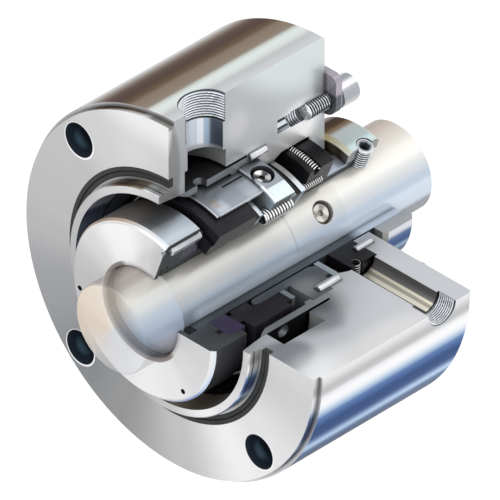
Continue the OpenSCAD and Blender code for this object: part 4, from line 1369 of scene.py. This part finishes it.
@dataclass
class Fasteners:
    """Cap screws, set screws and sunk screws with their threads and sockets.

    A screw is a list of stations, as screw_surface takes them.
    """

    finishes: Finishes
    screw_r: float = 4.76
    pitch: float = 1.587
    grip: float = 15.5
    washer_t: float = 2.2
    film: float = 0.02
    cap_socket_r: float = 3.95
    cap_thread: float = 0.85
    set_socket_r: float = 2.4
    set_thread: float = 0.7
    set_sink: float = 0.5
    set_seat: float = 0.05
    head_sink: float = 1.85

    def build(self) -> None:
        """Builds the screws in place of their solids."""
        self.cap_screws()
        self.set_screws()
        at = LAYOUT
        first, top, y, fan = at.carrier_screw_angle, at.flange_r - self.head_sink, at.carrier_screw_y, 40.0
        carrier = merged([self.sunk_screw(first + turn, top, y, fan - turn) for turn in THIRDS])
        shaft = self.sunk_screw(at.shaft_screw_angle, at.shaft_r - self.head_sink, at.shaft_screw_y, 10.0)
        f = self.finishes
        self.shown("sunk_carrier_screws", carrier, f.sunk_screw, Body.HOUSING, "carrier_screws")
        self.shown("sunk_shaft_screw", shaft, f.shaft_screw, Body.ROTOR, "shaft_screw")

    def shown(self, name: str, skin: Skin, finish: bpy.types.Material, body: Body, node: str) -> None:
        """Shows screws on their body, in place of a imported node."""
        ride(to_object(name, skin, finish), body, (node,))

    def threaded(self, first: float, last: float, fade: float) -> list[list[float]]:
        """The stations of a thread between two heights, which fades in and out over a length."""
        return [
            [self.screw_r, z, min(1.0, (z - first + 0.2) / fade, (last - z + 0.1) / fade), 0, 1]
            for z in np.arange(first, last, self.pitch / 8.0)
        ]

    def cap_screws(self) -> None:
        """The three screws that hold the setting plates."""
        at = LAYOUT
        shank = self.grip + at.plate_t + self.washer_t + 3.0 * self.film
        r, head_r, head_h, socket = self.screw_r, self.screw_r * 1.6, self.screw_r * 2.4, self.cap_socket_r
        top = shank + head_h
        stations = (
            [[POLE_R, 0.0, 0, 0, 0.6], [r * 0.55, 0.15, 0, 0, 0.7], [r * 0.8, 0.7, 0, 0, 0.9]]
            + self.threaded(1.2, shank - 1.0, 1.2)
            + [
                [r, shank - 0.5, 0, 0, 0.5], [r, shank, 0, 0, 0.3], [head_r - 0.3, shank, 0, 0, 0.8],
                [head_r, shank + 0.3, 0, 0, 1], [head_r, shank + 0.8, 0, 0, 1], [head_r, top - 1.0, 0, 0, 1],
                [head_r - 0.2, top - 0.3, 0, 0, 1], [head_r - 0.6, top, 0, 0, 0.9],
                [socket + 0.9, top, 0, 0, 0.8], [socket + 0.25, top - 0.35, 0, 1, 0.5],
                [socket, top - 0.7, 0, 1, 0.3], [socket, shank + 5.5, 0, 1, 0.2],
                [POLE_R, shank + 4.7, 0, 0, 0.2],
            ]
        )
        screw = screw_surface(stations, self.pitch, self.cap_thread, 96).flipped()
        # The heads carry a painted sheen by angle about each screw.
        angles, shades = zip(*HEAD_SHEEN)
        parts = []
        for turn in THIRDS:
            angle = at.gland_cut + turn
            points = placed(screw.points, angle, at.cap_screw_pitch_r, at.gland_len - self.grip)
            x, z = on_circle(at.cap_screw_pitch_r, angle)
            around = np.degrees(np.arctan2(points[:, 0] - x, points[:, 2] - z)) - 45.0
            sheen = np.interp((around + 180.0) % 360.0 - 180.0, angles, shades)
            head = screw.points[:, 2] > shank - 0.1
            parts.append(Skin(points, screw.faces, screw.tone * np.where(head, sheen, 1.0)))
        self.shown("threaded_cap_screws", merged(parts), self.finishes.thread, Body.HOUSING, "cap_screws")

    def set_screws(self) -> None:
        """The three screws through the clamp ring and the sleeve."""
        at = LAYOUT
        r, socket = self.screw_r, self.set_socket_r
        length = at.clamp_r - self.set_sink - at.shaft_r - self.set_seat
        stations = (
            [[POLE_R, 0.6, 0, 0, 0.5], [2.2, 0.6, 0, 0, 0.5], [3.0, 0.0, 0, 0, 0.9], [4.0, 0.3, 0, 0, 0.9]]
            + self.threaded(0.9, length - 0.8, 0.8)
            + [
                [r, length - 0.6, 0, 0, 0.7], [r - 0.5, length, 0, 0, 0.7], [3.1, length, 0, 0, 0.5],
                [socket + 0.15, length - 0.4, 0, 1, 0.4], [socket, length - 0.8, 0, 1, 0.5],
                [socket, length - 4.8, 0, 1, 0.3], [POLE_R, length - 5.4, 0, 0, 0.4],
            ]
        )
        screw = screw_surface(stations, self.pitch, self.set_thread, 72)
        skin = merged([
            replace(screw, points=pointing_out(
                screw.points, at.rotor_cut + turn, at.shaft_r + self.set_seat, at.set_screw_y,
            ))
            for turn in THIRDS
        ])
        self.shown("threaded_set_screws", skin, self.finishes.thread, Body.ROTOR, "set_screws")

    def sunk_screw(self, angle: float, top: float, y: float, phase: float) -> Skin:
        """A screw whose dished head lies under a surface, with a painted sheen in three fans round its
        socket.

        Args:
            angle, y: where it is.
            top: the radius of its head's top.
            phase: the angle of its first painted bright fan, in degrees.

        Returns:
            The screw's surface.
        """
        stations = [
            [POLE_R, -12, 0, 0, 0.3], [2.4, -12, 0, 0, 0.3], [3, -11.4, 0, 0, 0.4], [3, -4, 0, 0, 0.2],
            [4.6, -4, 0, 0, 0.2], [4.9, -3.7, 0, 0, 0.3], [4.9, -0.5, 0, 0, 0.35], [4.72, -0.15, 0, 0, 0.8],
            [4.5, 0.0, 0, 0, 1.0], [4.1, -0.1, 0, 0, 1.0], [3.4, -0.4, 0, 0, 1.0], [2.75, -0.5, 0, 0, 1.0],
            [2.55, -0.35, 0, 0, 0.9], [1.95, -0.35, 0, 0, 0.9], [1.5, -0.6, 0, 1, 0.3],
            [1.45, -2.4, 0, 1, 0.1], [POLE_R, -2.9, 0, 0, 0.1],
        ]
        screw = screw_surface(stations, self.pitch, 0.0, 96)
        u = np.arctan2(screw.points[:, 1], screw.points[:, 0])
        fan = 0.56 + 0.44 * np.cos(3.0 * (u - math.radians(phase)))
        tone = screw.tone * np.where(screw.points[:, 2] > -0.6, fan, 1.0)
        return Skin(pointing_out(screw.points, angle, top, y), screw.faces, tone)


@dataclass
class HalfThread:
    """Half of a hole's thread, as the cut leaves it: a shell with painted shade in its hollows and painted
    light on its crests.

    Its inner radius at angle u and height z is outer - wall - depth (1 - |sin(pi (z / pitch - u / 2 pi))|),
    and the crests fade out at both ends.
    """

    finishes: Finishes
    name: str
    hole_r: float
    start: float
    end: float
    first: float
    depth: float
    pitch: float
    gap: float = 0.03
    wall: float = 0.06
    mouth_gap: float = 0.12
    across: int = 61
    per_turn: int = 14
    fade: float = 18.0

    def shell(self, mouth_r: float = 0.0) -> Skin:
        """Works out the shell along +Z.

        Args:
            mouth_r: the radius of the round face that the hole opens in, if it opens in one.

        Returns:
            The shell's surface.
        """
        u = np.radians(np.linspace(self.first, self.first + 180.0, self.across))[None, :]
        rows = int((self.end - self.start) / self.pitch * self.per_turn) + 1
        share = np.linspace(0.0, 1.0, rows)[:, None]
        outer = self.hole_r - self.gap
        end = self.end + 0.0 * u
        if mouth_r:
            end = np.sqrt(mouth_r**2 - (outer * np.sin(u)) ** 2) - self.mouth_gap
        z = self.start + (end - self.start) * share
        fade = np.clip(np.minimum(share, 1.0 - share) * self.fade, 0.0, 1.0)
        crest = fade * (1.0 - np.abs(np.sin(np.pi * (z / self.pitch - u / (2.0 * np.pi)))))
        inner, rim = (
            np.stack([r * np.cos(u), r * np.sin(u), z], -1)
            for r in (outer - self.wall - self.depth * crest, np.broadcast_to(outer, z.shape))
        )
        points = np.concatenate([inner, rim[::-1]], 0)
        count, across = points.shape[:2]
        faces = (grid_faces(count + 1, across, False) % (count * across)).tolist()
        faces += [[k * across for k in range(count)], [k * across + across - 1 for k in range(count)][::-1]]
        tone = np.concatenate([0.05 + 0.95 * crest**0.85, 0.0 * crest], 0)
        return Skin(points.reshape(-1, 3), faces, tone.reshape(-1))

    def port(self, angle: float, y: float) -> None:
        """Builds the thread of a port that opens in the gland's rim."""
        skin = self.shell(LAYOUT.gland_r)
        self.shown(replace(skin, points=pointing_out(skin.points, angle, 0.0, y)))

    def tapped(self, angle: float, radius: float) -> None:
        """Builds the thread of a hole along the shaft."""
        skin = self.shell().flipped()
        self.shown(replace(skin, points=placed(skin.points, angle, radius, 0.0)))

    def shown(self, skin: Skin) -> None:
        """Shows the thread on the housing."""
        ride(to_object(self.name, skin, self.finishes.port, 50.0), Body.HOUSING, ())


@dataclass
class ShaftSection:
    """The thin disc that closes the shaft where its faded front begins."""

    finishes: Finishes
    radius: float = 24.9
    thickness: float = 0.4

    def build(self) -> None:
        """Builds the disc from the end of the faded front backwards."""
        front, back = GHOST.end, GHOST.end + self.thickness
        outline = np.array([[POLE_R, front], [self.radius, front], [self.radius, back], [POLE_R, back]])
        disc = to_object("shaft_section", revolved(outline, 0.0, 360.0, 96), self.finishes.section)
        ride(disc, Body.ROTOR, ())


# Stage


@dataclass
class Stage:
    """Floor, lamps, world and camera."""

    right_shift: float = 40.5
    up_shift: float = 23.0
    frame_width: float = 250.0
    lens: float = 1200.0
    sensor: float = 36.0
    matt_light: float = 0.75
    floor_reach: float = 3000.0
    floor_gap: float = 2.0
    floor_glow: float = 0.3
    floor_shown: float = 1.08
    lamp_size: float = 2.0

    def build(self) -> None:
        """Builds the whole stage."""
        self.world()
        self.floor()
        self.lamps()
        self.camera()

    def world(self) -> None:
        """A white surround for the camera and for reflections, and a softer one for matt surfaces."""
        world = bpy.data.worlds.new("studio")
        bpy.context.scene.world = world
        world.use_nodes = True
        tree = Tree(world.node_tree)
        path = tree.add("LightPath")
        glossy = tree.math("MAXIMUM", path["Is Glossy Ray"], path["Is Transmission Ray"])
        shown = tree.math("MAXIMUM", path["Is Camera Ray"], glossy)
        strength = tree.add("MapRange", {"Value": shown, "To Min": self.matt_light, "To Max": 1.0})[0]
        light = tree.add("Background", {"Color": WHITE, "Strength": strength})[0]
        tree.add("OutputWorld", {"Surface": light})

    def floor(self) -> None:
        """A wide pale floor under the gland, which the camera sees as plain white."""
        reach, height = self.floor_reach, -LAYOUT.gland_r - self.floor_gap
        points = np.array([(x * reach, y * reach, height) for x, y in ((-1, -1), (1, -1), (1, 1), (-1, 1))])
        n = Nodes("floor")
        path = n.add("LightPath")
        n.finished({
            "Base Color": n.mix(n.noise(n.place(), 2.0), rgb(246, 246, 246), rgb(250, 250, 250)),
            "Roughness": 0.9,
            "Emission Color": WHITE,
            "Emission Strength": n.product(path["Is Glossy Ray"], self.floor_glow),
        })
        plain = n.add("Emission", (WHITE, self.floor_shown))[0]
        shown = n.add("MixShader", (path["Is Camera Ray"], n.shader.outputs[0], plain))[0]
        n.put(n.output.inputs["Surface"], shown)
        floor = to_object("floor", Skin(points, [[0, 1, 2, 3]]), n.material)

    def lamps(self) -> None:
        """Three soft lamps: one over the left shoulder, one high behind, one low from the right."""
        centre = Vector((0.0, 0.06, 0.0))
        for name, place, power in (
            ("key", (-0.5, -1.3, 1.5), 7.0),
            ("top", (0.9, 0.9, 1.8), 5.0),
            ("fill", (1.7, -0.8, 0.3), 3.0),
        ):
            lamp = bpy.data.lights.new(name, "AREA")
            lamp.size = self.lamp_size
            lamp.energy = power
            holder = bpy.data.objects.new(name, lamp)
            holder.location = Vector(place)
            holder.rotation_euler = (centre - Vector(place)).to_track_quat("-Z", "Y").to_euler()
            bpy.context.scene.collection.objects.link(holder)

    def camera(self) -> None:
        """A very long lens on the isometric line of sight, with the photograph's framing."""
        back = Vector((1.0, -1.0, 1.0)).normalized()
        right = Vector((1.0, 1.0, 0.0)).normalized()
        up = back.cross(right)
        aim = (right * self.right_shift + up * self.up_shift) * MM
        distance = self.frame_width * MM * self.lens / self.sensor
        data = bpy.data.cameras.new("camera")
        data.lens = self.lens
        data.sensor_width = self.sensor
        data.clip_start, data.clip_end = 0.1, 100.0
        camera = bpy.data.objects.new("camera", data)
        camera.location = aim + back * distance
        camera.rotation_euler = back.to_track_quat("Z", "Y").to_euler()
        bpy.context.scene.collection.objects.link(camera)
        bpy.context.scene.camera = camera


def main() -> None:
    """Builds the stage, the finishes and every sub-assembly in order."""
    logging.basicConfig(level=logging.INFO, format="%(name)s %(message)s")
    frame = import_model()
    bpy.context.scene.view_settings.view_transform = "Standard"
    Stage().build()
    finishes = Finishes()
    Carried(finishes, frame).dress()
    SealingRings(finishes).build()
    Springs(finishes).build()
    Fasteners(finishes).build()
    at = LAYOUT
    HalfThread(
        finishes, "flush_thread", hole_r=14.0, start=at.gland_r - 16.9, end=at.gland_r, first=180.0,
        depth=0.9, pitch=1.55,
    ).port(at.gland_cut, at.flush_y)
    HalfThread(
        finishes, "vent_thread", hole_r=9.75, start=at.gland_r - 11.9, end=at.gland_r, first=0.0,
        depth=0.75, pitch=1.3,
    ).port(0.0, at.vent_y)
    ShaftSection(finishes).build()
    HalfThread(
        finishes, "tapped_thread", hole_r=4.81, start=86.3, end=94.6, first=180.0, depth=0.6, pitch=1.587,
    ).tapped(at.gland_cut, at.cap_screw_pitch_r)
    log.info("all pieces built")


if __name__ == "__main__":
    main()
